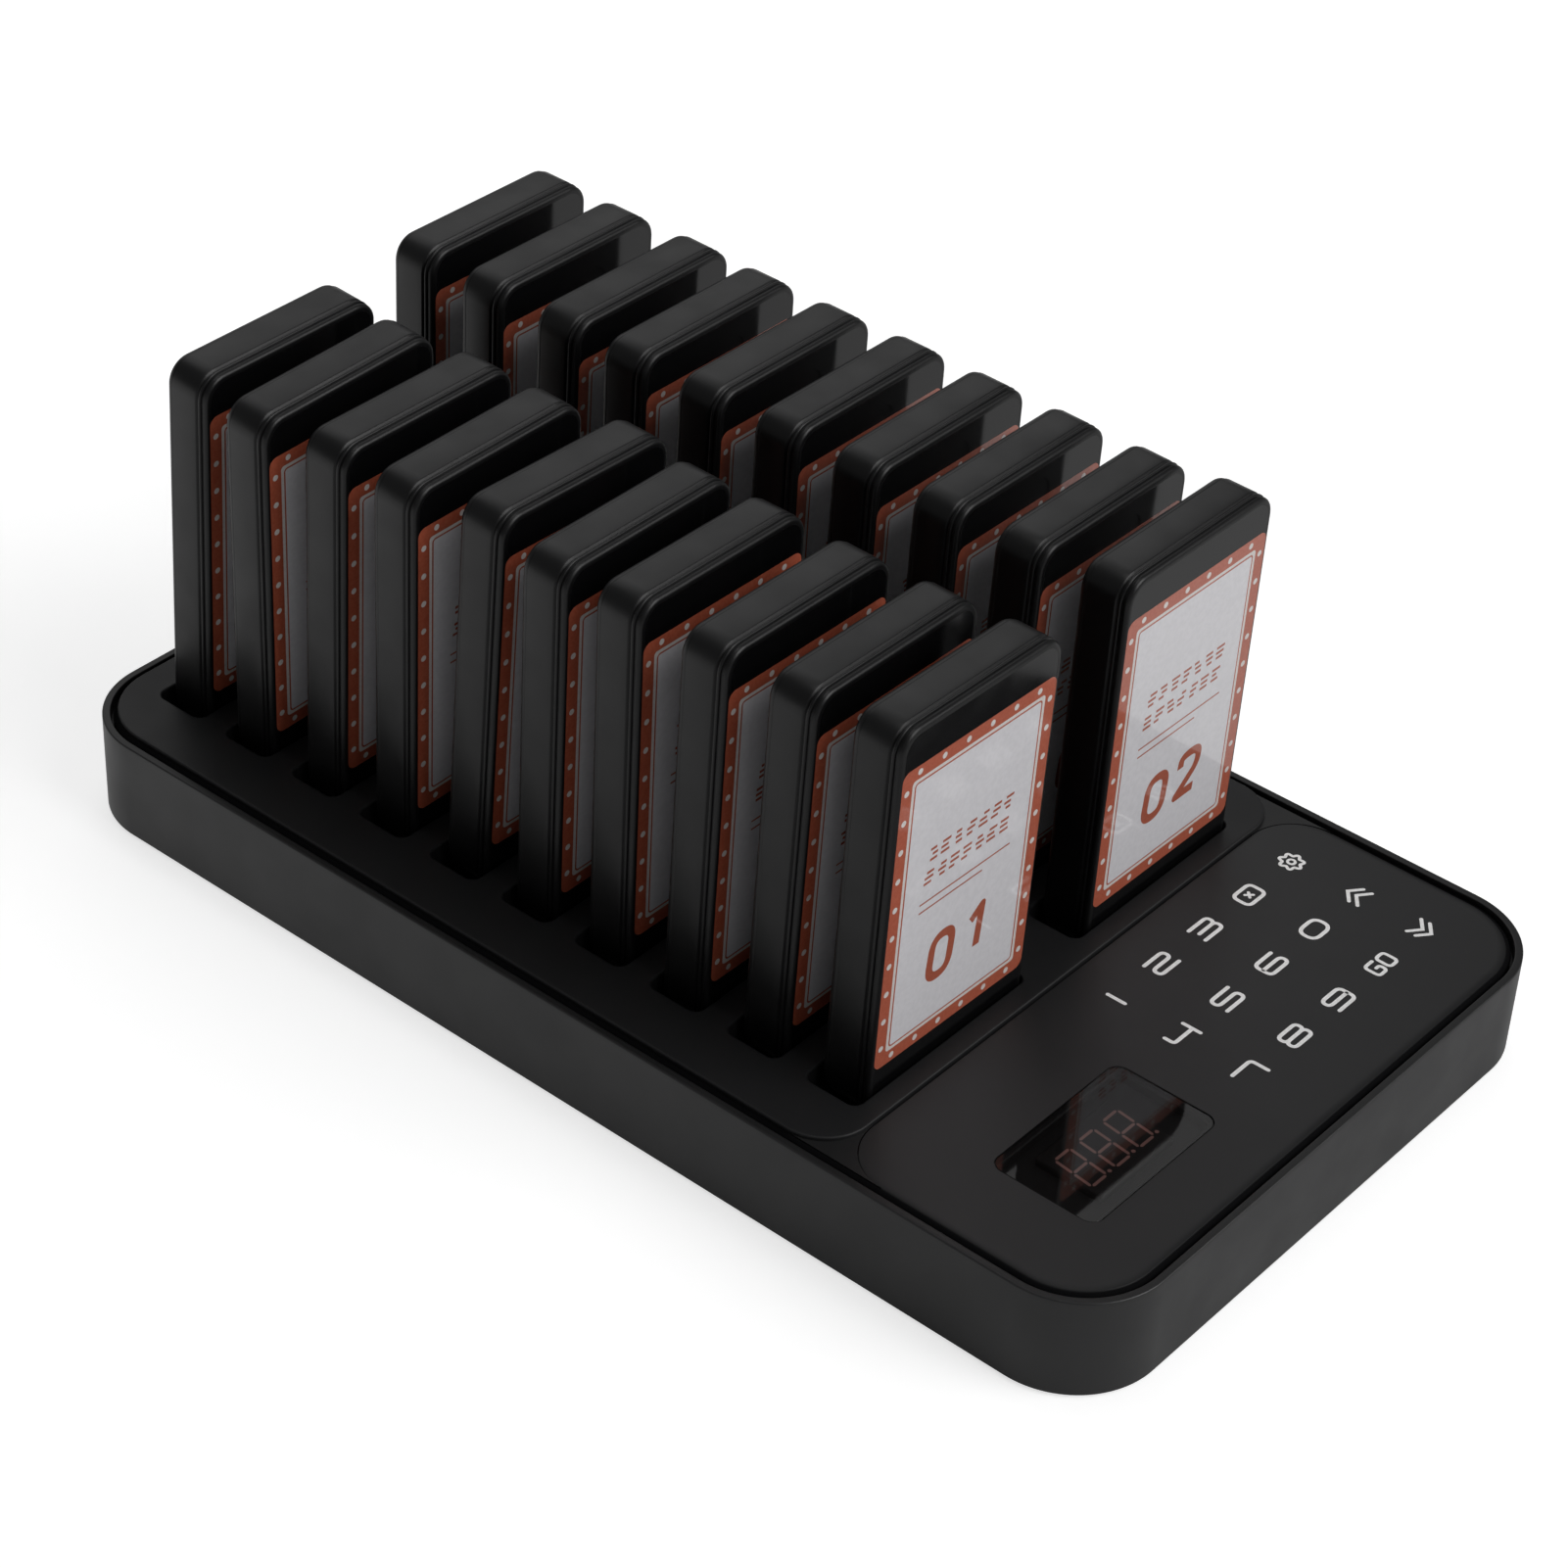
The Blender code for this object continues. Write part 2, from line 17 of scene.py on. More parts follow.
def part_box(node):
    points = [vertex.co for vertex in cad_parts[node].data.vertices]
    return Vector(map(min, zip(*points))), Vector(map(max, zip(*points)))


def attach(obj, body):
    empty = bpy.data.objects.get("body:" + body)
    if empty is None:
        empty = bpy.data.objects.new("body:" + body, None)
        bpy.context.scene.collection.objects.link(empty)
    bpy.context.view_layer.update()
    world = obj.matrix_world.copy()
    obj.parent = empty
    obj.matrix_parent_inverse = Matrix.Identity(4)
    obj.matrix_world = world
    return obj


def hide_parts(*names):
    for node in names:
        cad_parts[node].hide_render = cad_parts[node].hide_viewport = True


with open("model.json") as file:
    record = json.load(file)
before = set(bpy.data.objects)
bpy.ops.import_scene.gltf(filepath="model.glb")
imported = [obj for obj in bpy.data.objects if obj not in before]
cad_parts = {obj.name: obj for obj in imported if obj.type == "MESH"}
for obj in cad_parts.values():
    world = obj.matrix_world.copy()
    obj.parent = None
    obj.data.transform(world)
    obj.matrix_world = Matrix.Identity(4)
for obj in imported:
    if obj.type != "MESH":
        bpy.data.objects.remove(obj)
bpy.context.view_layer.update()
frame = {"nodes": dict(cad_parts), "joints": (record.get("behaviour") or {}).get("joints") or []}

MM = 0.001


def box_mm(node):
    """Lowest and highest corner of a CAD node, in millimetres."""
    low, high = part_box(node)
    return np.array(low) / MM, np.array(high) / MM


# ------------------------ sizes

TUB_LOW, TUB_HIGH = box_mm("base_tub")
COVER_LOW, COVER_HIGH = box_mm("top_cover")
INLAY_LOW, INLAY_HIGH = box_mm("keypad_panel")
WINDOW_LOW, WINDOW_HIGH = box_mm("display_window")
LED_LOW, LED_HIGH = box_mm("led_display")
JACK_LOW, JACK_HIGH = box_mm("power_jack")

DECK_TOP = INLAY_HIGH[2]
PLATFORM_TOP = COVER_HIGH[2]
INLAY_INSET = COVER_HIGH[0] - INLAY_HIGH[0]

# Tub, with its openings below and behind. A ceiling is the height at which a blind hole ends.
TUB_CORNER = 23.6
RIM_WIDTH = 2.1
FOOT_NODES = [f"foot_{end}_{side}" for end in ("front", "rear") for side in ("left", "right")]
FOOT_RECESS_RADIUS = 7.3
FOOT_RECESS_CEILING = 2.5
SCREW_ROWS_X = (-46.0, 46.0)
SCREW_ROWS_Y = (-143.0, 0.0, 143.0)
SCREW_HOLE_RADIUS = 3.4
SCREW_HOLE_CEILING = 3.2
JACK_BORE_RADIUS = 4.8

# Cover: the platform stands out of it, and its edge falls into the seam along a quarter of an ellipse.
COVER_CORNER = 20.8
COVER_UNDERSIDE = 25.4
PLATFORM_FRONT = -86.2
PLATFORM_FRONT_CORNER = 13.0
PLATFORM_INSET = 1.2
PLATFORM_ROUND = 0.45
EDGE_FALL = 1.6
EDGE_WIDTH = 3.5
WEB_GAP = 0.22
WEB_REAR = -72.0
WEB_INNER_X = 74.2

# Inlay: its front part follows the edge's fall, which starts at one Y and is complete over a length.
INLAY_CORNERS = (14.5, 14.5, 19.5, 19.5)
INLAY_FALL_START = -90.0
INLAY_FALL_LENGTH = 14.0
# Heights between which the sheen of the cover's edge and the keypad film fades out into the seam: painted
# shade.
SEAM_SHADE_FADE = (DECK_TOP - 0.45, DECK_TOP - 0.02)
WINDOW_CORNER = 3.2
WINDOW_GAP = 0.3
WINDOW_TILT = 0.006
WELL_DEPTH = 1.6

SLOT_COUNT = 10
SLOT_PITCH = 24.0
SLOT_FIRST_Y = -72.55
SLOT_ROW_X = 41.4
SLOT_LENGTH = 63.4
SLOT_WIDTH = 15.7
SLOT_CORNER = 2.6
SLOT_LIP = 0.6
ROW_HALF_X = 76.0
PADS_ABOVE = 19.65

PAGER_COUNT = 20
PAGER_WIDTH = 57.5
PAGER_HEIGHT = 108.5
PAGER_DEPTH = 14.2
PAGER_CORNER = 6.6
PAGER_WALL = 1.8
PARTING_DEPTH = 3.4
BACK_PANEL_MIDDLE = (0.0, 60.0)
BACK_PANEL_SIZE = (43.0, 62.0)
BACK_PANEL_DEPTH = 0.3
CONTACT_X = 9.0
CONTACT_SIZE = (3.6, 5.2)

CARD_SIZE = (54.6, 83.7)
CARD_BOTTOM = 14.1
CARD_BORDER = 3.7
CARD_DOT_INSET = 1.85
CARD_DOT_RADIUS = 0.85
CARD_SLANT = 0.12
INK_STEP = 0.012
PRINT_LIFT = 0.03
SHARP_FROM = math.radians(35.0)


# ------------------------ outlines, profiles and meshes


def rounded(x_range, y_range, radii, steps=12, on_x=(), on_y=()):
    """Rounded rectangle, anticlockwise, as (points, outward normals).

    A corner is its centre plus r (cos a, sin a) through a quarter turn. radii run right-rear,
    left-rear, left-front, right-front. on_x and on_y are extra points on the straight sides.
    """
    (x0, x1), (y0, y1) = x_range, y_range
    corners = np.array([(x1, y1), (x0, y1), (x0, y0), (x1, y0)], float)
    inwards = np.array([(-1, -1), (1, -1), (1, 1), (-1, 1)], float)
    radii = np.broadcast_to(np.asarray(radii, float), (4,))
    on_x = np.asarray(on_x, float)
    on_y = np.asarray(on_y, float)
    sides = (
        np.stack([on_x[::-1], np.full(on_x.size, y1)], -1),
        np.stack([np.full(on_y.size, x0), on_y[::-1]], -1),
        np.stack([on_x, np.full(on_x.size, y0)], -1),
        np.stack([np.full(on_y.size, x1), on_y], -1),
    )
    points, normals = [], []
    for turn in range(4):
        angle = np.radians(90.0 * (turn + np.linspace(0.0, 1.0, steps + 1)))
        away = np.stack([np.cos(angle), np.sin(angle)], -1)
        points += [corners[turn] + radii[turn] * (inwards[turn] + away), sides[turn]]
        normals += [away, np.broadcast_to(away[-1], sides[turn].shape)]
    return np.concatenate(points), np.concatenate(normals)


def about(middle, size, radii, steps=12):
    """Rounded rectangle of a size about its middle."""
    (x, y), (w, h) = middle, size
    return rounded((x - w / 2, x + w / 2), (y - h / 2, y + h / 2), radii, steps)


def circle(middle, radius, sides=32):
    """Ring of points, middle + r (cos a, sin a), with its outward normals."""
    angle = 2 * math.pi * np.arange(sides) / sides
    away = np.stack([np.cos(angle), np.sin(angle)], -1)
    return np.asarray(middle, float) + radius * away, away


def arc(inset, height, radius, first, last, steps=5):
    """Profile points (inset, height) on a circular arc between two angles in degrees."""
    angle = np.radians(np.linspace(first, last, steps + 1))
    return np.stack([inset + radius * np.cos(angle), height + radius * np.sin(angle)], -1)


def carry(outline, *profile):
    """A profile carried round an outline: ring k is point - inset_k * normal, at height_k."""
    points, normals = outline
    profile = np.concatenate([np.atleast_2d(np.asarray(part, float)) for part in profile])
    flat = points[None] - profile[:, 0, None, None] * normals[None]
    height = np.broadcast_to(profile[:, 1, None, None], flat.shape[:2] + (1,))
    return np.concatenate([flat, height], -1)


def skin(rings, caps="", loop=False):
    """Quads between neighbouring rings. caps names the closed ends: first, last or both."""
    rows, count = rings.shape[:2]
    first = np.arange(rows if loop else rows - 1)[:, None]
    column = np.arange(count)[None]
    low = first * count
    high = (first + 1) % rows * count
    after = (column + 1) % count
    faces = np.stack([low + column, low + after, high + after, high + column], -1).reshape(-1, 4).tolist()
    if caps in ("first", "both"):
        faces.append(list(range(count))[::-1])
    if caps in ("last", "both"):
        faces.append([(rows - 1) * count + k for k in range(count)])
    return rings.reshape(-1, 3), faces


def fallen(inset):
    """How far the deck's edge has dropped at a distance in from it: a quarter of an ellipse."""
    along = 1.0 - np.clip(np.asarray(inset, float) / EDGE_WIDTH, 0.0, 1.0)
    return EDGE_FALL * (1.0 - np.sqrt(1.0 - along**2))


def layer(outline, height):
    """One flat face that looks up, at a height."""
    return carry(outline, (0.0, height))[0], [list(range(len(outline[0])))]


def upright(points):
    """Turns a form drawn as (x, height, depth) so that its depth runs along +Y."""
    return points[..., [0, 2, 1]]


def joined(patches):
    """Patches that begin with (points, faces), as one array of points and one list of faces."""
    points, faces, start = [], [], 0
    for patch in patches:
        points.append(np.asarray(patch[0], float))
        faces += [[start + k for k in face] for face in patch[1]]
        start += len(patch[0])
    return np.concatenate(points), faces


def shade(mesh):
    """Smooth shading, with every edge sharper than SHARP_FROM left hard."""
    mesh.shade_smooth()
    mesh.set_sharp_from_angle(angle=SHARP_FROM)


def piece(name, patches, finishes, body, replaces=(), solid=True, place=None):
    """One object from patches of (points, faces, finish number), merged where they meet.

    A solid piece has its faces turned outwards. place is (3x3 turn, origin) in millimetres.
    """
    points, faces = joined(patches)
    marks = [mark for _, around, mark in patches for _ in around]
    if place is not None:
        turn, origin = place
        points = points @ turn.T + origin
    mesh = bpy.data.meshes.new(name)
    mesh.from_pydata((points * MM).tolist(), [], faces)
    mesh.polygons.foreach_set("material_index", np.array(marks, np.int32))
    form = bmesh.new()
    form.from_mesh(mesh)
    bmesh.ops.remove_doubles(form, verts=form.verts, dist=1e-6)
    if solid:
        bmesh.ops.recalc_face_normals(form, faces=form.faces)
    form.to_mesh(mesh)
    form.free()
    for finish in finishes:
        mesh.materials.append(finish)
    shade(mesh)
    made = bpy.data.objects.new(name, mesh)
    bpy.context.scene.collection.objects.link(made)
    if body is None:
        return made
    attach(made, body)
    if replaces:
        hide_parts(*replaces)
    return made


# ------------------------ finishes


# Colour sockets of a Mix node: its two inputs and its result.
MIX_A, MIX_B, MIX_RESULT = 6, 7, 2


def linear(code):
    """sRGB hex colour to linear RGBA."""
    value = np.array([int(code[k : k + 2], 16) for k in (0, 2, 4)]) / 255.0
    low = value / 12.92
    high = ((value + 0.055) / 1.055) ** 2.4
    return (*np.where(value <= 0.04045, low, high).tolist(), 1.0)


def add(tree, kind, sockets=None, **settings):
    """Adds a node: settings are its own, sockets maps an input to a value or to another node's output."""
    made = tree.nodes.new(kind)
    for key, value in settings.items():
        setattr(made, key, value)
    for key, value in (sockets or {}).items():
        if isinstance(value, bpy.types.NodeSocket):
            tree.links.new(value, made.inputs[key])
        else:
            made.inputs[key].default_value = value
    return made


def blank(name):
    """New material with an empty tree: returns it, its tree and the Object coordinates."""
    made = bpy.data.materials.new(name)
    made.use_nodes = True
    tree = made.node_tree
    tree.nodes.clear()
    place = add(tree, "ShaderNodeTexCoord").outputs["Object"]
    return made, tree, place


def moulded_plastic(
    name, dark, light, roughness, grain, relief, patch=18.0, spread=0.05, painted_shade_heights=None, **shader
):
    """Plastic from a textured mould. dark and light are the two ends of its slight cloudiness.

    grain is the size of the mould's etched texture and relief its depth, both in millimetres. A real
    etch is 0.1 to 0.2 mm: it is drawn three to four times as coarse, so that it shows. patch is the
    size of the areas where handling has changed the gloss, by up to spread in roughness. The last
    argument is (height without any sheen, height with all of it): the specular fades out between the
    two, as painted shade on an edge that falls into a seam.
    """
    made, tree, place = blank(name)
    # Painted shade: the specular level falls from 0.5 to none with height, so an edge darkens as it drops
    # into a seam.
    if painted_shade_heights:
        height = add(tree, "ShaderNodeSeparateXYZ", {"Vector": place}).outputs["Z"]
        fade = {"Value": height, "From Min": painted_shade_heights[0] * MM, "From Max": painted_shade_heights[1] * MM, "To Max": 0.5}
        shader["Specular IOR Level"] = add(tree, "ShaderNodeMapRange", fade).outputs["Result"]
    cloud = add(tree, "ShaderNodeTexNoise", {"Vector": place, "Scale": 1 / (patch * MM), "Detail": 3.0})
    etch = add(tree, "ShaderNodeTexNoise", {"Vector": place, "Scale": 1 / (grain * MM), "Detail": 2.0})
    tones = {"Factor": etch.outputs["Fac"], MIX_A: linear(dark), MIX_B: linear(light)}
    colour = add(tree, "ShaderNodeMix", tones, data_type="RGBA")
    wear = {"Value": cloud.outputs["Fac"], "From Min": 0.3, "From Max": 0.7}
    wear |= {"To Min": roughness - spread, "To Max": roughness + spread}
    gloss = add(tree, "ShaderNodeMapRange", wear)
    depth = {"Height": etch.outputs["Fac"], "Strength": 1.0, "Distance": relief * MM}
    bump = add(tree, "ShaderNodeBump", depth)
    look = {"Base Color": colour.outputs[MIX_RESULT], "Roughness": gloss.outputs["Result"], "IOR": 1.5}
    look |= {"Normal": bump.outputs["Normal"]} | shader
    surface = add(tree, "ShaderNodeBsdfPrincipled", look)
    add(tree, "ShaderNodeOutputMaterial", {"Surface": surface.outputs["BSDF"]})
    return made


def printed_ink(name, ink, pale, roughness, gloss, dot=0.8):
    """Ink on card or film. ink and pale are its full and its thin tone.

    dot is the size in millimetres of the mottle between them. A printer's screen is four times as
    fine: it is drawn this coarse so that it shows. gloss is the weight of the clear layer on top.
    """
    made, tree, place = blank(name)
    mottle = add(tree, "ShaderNodeTexNoise", {"Vector": place, "Scale": 1 / (dot * MM), "Detail": 2.0})
    spots = {"Value": mottle.outputs["Fac"], "From Min": 0.35, "From Max": 0.65}
    thin = add(tree, "ShaderNodeMapRange", spots)
    tones = {"Factor": thin.outputs["Result"], MIX_A: linear(ink), MIX_B: linear(pale)}
    colour = add(tree, "ShaderNodeMix", tones, data_type="RGBA")
    look = {"Base Color": colour.outputs[MIX_RESULT], "Roughness": roughness, "IOR": 1.5}
    look |= {"Coat Weight": gloss, "Coat Roughness": 0.06, "Coat IOR": 1.62}
    surface = add(tree, "ShaderNodeBsdfPrincipled", look)
    add(tree, "ShaderNodeOutputMaterial", {"Surface": surface.outputs["BSDF"]})
    return made


def smoked_acrylic_polished():
    """Cast acrylic, dyed and polished: nearly black, with a hard clear reflection and a faint view down.

    The dye is drawn as a part cover, so that light still falls through the one sheet to the digits.
    """
    made, tree, place = blank("smoked_acrylic_polished")
    flow = add(tree, "ShaderNodeTexNoise", {"Vector": place, "Scale": 1 / (25.0 * MM), "Detail": 1.0})
    gloss = add(tree, "ShaderNodeMapRange", {"Value": flow.outputs["Fac"], "To Min": 0.015, "To Max": 0.04})
    sheet = {"Base Color": linear("0C0A0A"), "Roughness": gloss.outputs["Result"], "IOR": 1.6, "Alpha": 0.62}
    surface = add(tree, "ShaderNodeBsdfPrincipled", sheet)
    add(tree, "ShaderNodeOutputMaterial", {"Surface": surface.outputs["BSDF"]})
    return made


def solder_mask(name, mask, copper, pads_above=None):
    """Circuit board: lacquer over etched copper, so that tracks 1 mm apart show as a paler tone.

    Real tracks are about four times as fine: they are drawn this coarse so that they show. Above the
    height pads_above, in millimetres, the board is a gold-plated contact with wiped, uneven gloss.
    """
    made, tree, place = blank(name)
    run = add(
        tree,
        "ShaderNodeTexBrick",
        {
            "Vector": place,
            "Scale": 1.0,
            "Brick Width": 6.0 * MM,
            "Row Height": 1.0 * MM,
            "Mortar Size": 0.25 * MM,
            "Color1": linear(mask),
            "Color2": linear(mask),
            "Mortar": linear(copper),
        },
    )
    coat = {"Base Color": run.outputs["Color"], "Roughness": 0.32, "IOR": 1.5}
    surface = add(tree, "ShaderNodeBsdfPrincipled", coat).outputs["BSDF"]
    if pads_above is not None:
        wipe = add(tree, "ShaderNodeTexNoise", {"Vector": place, "Scale": 1 / (0.6 * MM), "Detail": 2.0})
        worn = add(tree, "ShaderNodeMapRange", {"Value": wipe.outputs["Fac"], "To Min": 0.15, "To Max": 0.4})
        plate = {"Base Color": linear("D9B25A"), "Metallic": 1.0, "Roughness": worn.outputs["Result"]}
        gold = add(tree, "ShaderNodeBsdfPrincipled", plate).outputs["BSDF"]
        height = add(tree, "ShaderNodeSeparateXYZ", {"Vector": place}).outputs["Z"]
        proud = add(tree, "ShaderNodeMath", {0: height, 1: pads_above * MM}, operation="GREATER_THAN")
        surface = add(tree, "ShaderNodeMixShader", {0: proud.outputs[0], 1: surface, 2: gold}).outputs[0]
    add(tree, "ShaderNodeOutputMaterial", {"Surface": surface})
    return made


def plated_metal(name, code, roughness, line, spread=0.08):
    """Plated metal: drawn or rolled, with fine lines along X that are line millimetres apart."""
    made, tree, place = blank(name)
    fine = 1 / (line * MM)
    stretch = add(tree, "ShaderNodeMapping", {"Vector": place, "Scale": (0.1 * fine, fine, fine)})
    lines = add(tree, "ShaderNodeTexNoise", {"Vector": stretch.outputs[0], "Scale": 1.0, "Detail": 2.0})
    ends = {"Value": lines.outputs["Fac"], "To Min": roughness - spread, "To Max": roughness + spread}
    gloss = add(tree, "ShaderNodeMapRange", ends)
    plate = {"Base Color": linear(code), "Metallic": 1.0, "Roughness": gloss.outputs["Result"]}
    surface = add(tree, "ShaderNodeBsdfPrincipled", plate)
    add(tree, "ShaderNodeOutputMaterial", {"Surface": surface.outputs["BSDF"]})
    return made


# Outer tub: ABS from a lightly etched mould. Satin: the walls pick up the pale counter as a soft grey.
TUB_ABS = moulded_plastic(
    "abs_satin_moulded", "1D1D1E", "232324", 0.42, 0.5, 0.004, **{"Specular IOR Level": 0.58}
)
# Top of the tub's rim and the seam: the same ABS as the walls, a shade darker there: painted shade.
RIM_ABS_SHADED = moulded_plastic("abs_satin_rim_painted_shade", "101011", "161617", 0.46, 0.5, 0.004)
# Rack platform, slots and window well: ABS from a deeper etched mould. Matte, with little reflection.
DECK_ABS = moulded_plastic(
    "abs_matte_etched", "1A1A1B", "202021", 0.46, 0.6, 0.005, spread=0.04, **{"Specular IOR Level": 0.3}
)
# Keypad inlay: polyester film with a fine matte coat. Even and flat, a shade smoother than the deck. Its
# sheen fades out where its front edge falls into the seam: painted shade.
KEYPAD_FILM = moulded_plastic(
    "polyester_film_matte", "19191A", "1E1E1F", 0.46, 0.35, 0.002, spread=0.03, painted_shade_heights=SEAM_SHADE_FADE
)
# Cover's edge: the deck's ABS, a shade darker, with its sheen fading out as it falls into the seam: painted
# shade in the seam.
EDGE_ABS_SEAM_SHADE = moulded_plastic("abs_matte_edge_seam_shade", "0F0F10", "151516", 0.46, 0.6, 0.005, painted_shade_heights=SEAM_SHADE_FADE)
# Pager case, and the lip and bevel of its front: ABS with a satin black that shows soft grey bands.
SHELL_ABS = moulded_plastic(
    "abs_satin_pager", "0B0B0C", "101011", 0.38, 0.5, 0.003, patch=12.0, **{"Specular IOR Level": 0.4}
)
# Flat of the pager's front: ABS with a hard clear top coat. Black, with a sharp reflection.
FRONT_GLOSS = moulded_plastic(
    "abs_polished_front", "0A0A0B", "0D0D0E", 0.1, 0.8, 0.0004, patch=10.0, spread=0.03
)
# Screen-printed legends: opaque ink on the film. Flat white, with no gloss of its own.
LEGEND_INK = printed_ink("screen_ink_white", "F2F2F0", "FFFFFF", 0.45, 0.0)
# Offset inks and bare card below a clear sheet: bright, but a sharp reflection washes over them.
CARD_ORANGE = printed_ink("offset_ink_orange", "BE5C40", "C6664A", 0.5, 1.0)
CARD_WHITE = printed_ink("card_stock_white", "EFE6E2", "F6F0EC", 0.5, 1.0)
CARD_PANEL = printed_ink("offset_ink_pale_grey", "F0EEF2", "F6F4F8", 0.5, 1.0, dot=1.4)
CARD_LETTER = printed_ink("offset_ink_rust", "B4583C", "BC6146", 0.5, 1.0)
# Display window: smoked acrylic.
WINDOW_ACRYLIC = smoked_acrylic_polished()
# Display module: cast epoxy housing, black and slightly glossy, and unlit segments of tinted diffuser.
LED_HOUSING = moulded_plastic("epoxy_black_cast", "0C0A0A", "100D0D", 0.4, 0.7, 0.001)
LED_SEGMENT = moulded_plastic("diffuser_red_unlit", "D69C92", "DCA69C", 0.5, 0.4, 0.001)
# Feet: moulded rubber. Dull and slightly uneven, with hardly any highlight.
FOOT_RUBBER = moulded_plastic("rubber_moulded", "0E0E0E", "161616", 0.85, 0.4, 0.01)
# Power socket and buzzer: moulded nylon. Black and semi-matte.
SOCKET_PLASTIC = moulded_plastic("nylon_moulded_black", "0F0F10", "161617", 0.45, 0.4, 0.003)
# Circuit boards: lacquered laminate, glossy green, or black where the slots show them.
BOARD_GREEN = solder_mask("solder_mask_green", "0E3B20", "1B5330")
BOARD_BLACK = solder_mask("solder_mask_black", "0B0C0D", "15171A", pads_above=PADS_ABOVE)
# Coil: enamelled copper wire, reddish and bright along its turns.
COIL_COPPER = plated_metal("copper_enamelled_wire", "B4713B", 0.3, 0.1)
# Pads below each pager: gold plate, bright yellow with fine wiping marks.
CONTACT_GOLD = plated_metal("gold_plated_contact", "D9B25A", 0.25, 0.12)
# Vibration motor: a drawn steel can, nickel plated, bright with fine lines.
MOTOR_STEEL = plated_metal("steel_nickel_plated", "B9BABC", 0.25, 0.1)
# Cell: foil laminate pouch, pale grey with broad soft streaks.
CELL_WRAP = plated_metal("foil_laminate_wrap", "9FA3A8", 0.35, 0.8)


# ------------------------ base


def plan_box(low, high):
    """X range and Y range of a box."""
    return (low[0], high[0]), (low[1], high[1])


def bored(target, cutters):
    """Cuts closed forms out of a piece and leaves it a plain mesh."""
    points, faces = joined(cutters)
    tool_mesh = bpy.data.meshes.new("tool")
    tool_mesh.from_pydata((points * MM).tolist(), [], faces)
    form = bmesh.new()
    form.from_mesh(tool_mesh)
    bmesh.ops.recalc_face_normals(form, faces=form.faces)
    form.to_mesh(tool_mesh)
    form.free()
    tool = bpy.data.objects.new("tool", tool_mesh)
    bpy.context.scene.collection.objects.link(tool)
    step = target.modifiers.new("bore", "BOOLEAN")
    step.operation = "DIFFERENCE"
    step.solver = "EXACT"
    step.object = tool
    bpy.context.view_layer.update()
    cut = bpy.data.meshes.new_from_object(target.evaluated_get(bpy.context.evaluated_depsgraph_get()))
    target.modifiers.clear()
    target.data = cut
    bpy.data.objects.remove(tool)
    shade(cut)


def make_tub():
    """Tub: one profile round the plan, up the outer wall, over the rim and down into the seam.

    Recesses for the feet and blind screw holes are cut from below, and the socket's bore from behind.
    """
    outline = rounded(*plan_box(TUB_LOW, TUB_HIGH), TUB_CORNER, 28)
    bottom, top = TUB_LOW[2], TUB_HIGH[2]
    shoulder = (0.45, top - 0.45, 0.45)
    wall = carry(
        outline,
        (8.0, bottom),
        (1.5, bottom),
        arc(0.9, bottom + 0.9, 0.9, 270, 184, 6),
        (0.0, top - 1.6),
        arc(*shoulder, 180, 125, 4),
    )
    rim = carry(
        outline,
        arc(*shoulder, 125, 90, 3),
        (RIM_WIDTH - 0.4, top),
        arc(RIM_WIDTH - 0.3, top - 0.3, 0.3, 90, 0, 4),
        (RIM_WIDTH, top - 3.6),
        (5.4, top - 3.6),
        (5.4, top - 5.0),
        (2.6, top - 7.8),
        (2.8, 4.6),
        (4.0, 3.8),
    )
    patches = [(*skin(wall, "first"), 0), (*skin(rim, "last"), 1)]
    tub = piece("tub_shell", patches, [TUB_ABS, RIM_ABS_SHADED], "base", ["base_tub"])
    below = -1.0
    cutters = []
    for low, high in (box_mm(node) for node in FOOT_NODES):
        recess = circle((low[:2] + high[:2]) / 2, FOOT_RECESS_RADIUS)
        cutters.append(skin(carry(recess, (0.0, below), (0.0, FOOT_RECESS_CEILING)), "both"))
    for x in SCREW_ROWS_X:
        for y in SCREW_ROWS_Y:
            hole = circle((x, y), SCREW_HOLE_RADIUS, 24)
            rings = carry(hole, (-0.3, below), (0.0, bottom + 0.3), (0.0, SCREW_HOLE_CEILING))
            cutters.append(skin(rings, "both"))
    jack_middle = ((JACK_LOW[0] + JACK_HIGH[0]) / 2, (JACK_LOW[2] + JACK_HIGH[2]) / 2)
    rear = TUB_HIGH[1]
    bore = circle(jack_middle, JACK_BORE_RADIUS, 40)
    points, faces = skin(carry(bore, (0.0, rear - 6.6), (0.0, rear - 0.7), (-0.6, rear + 0.6)), "both")
    cutters.append((upright(points), faces))
    bored(tub, cutters)


def slot_patch(side, row):
    """One cell of the rack: its border, then the slot's rounded lip and its wall, and out again below."""
    middle_y = SLOT_FIRST_Y + SLOT_PITCH * row
    slot = about((side * SLOT_ROW_X, middle_y), (SLOT_LENGTH, SLOT_WIDTH), SLOT_CORNER, 8)
    cell_x = (0.0, ROW_HALF_X) if side > 0 else (-ROW_HALF_X, 0.0)
    cell = rounded(cell_x, (middle_y - SLOT_PITCH / 2, middle_y + SLOT_PITCH / 2), 0.0, 8)
    top, bottom = PLATFORM_TOP, COVER_LOW[2]
    inside = carry(
        slot,
        (-SLOT_LIP - 0.5, top),
        arc(-SLOT_LIP, top - SLOT_LIP, SLOT_LIP, 90, 0, 5),
        (0.0, top - 2 * SLOT_LIP),
        (0.0, bottom),
    )
    return skin(np.concatenate([carry(cell, (0.0, top)), inside, carry(cell, (0.0, bottom))]))


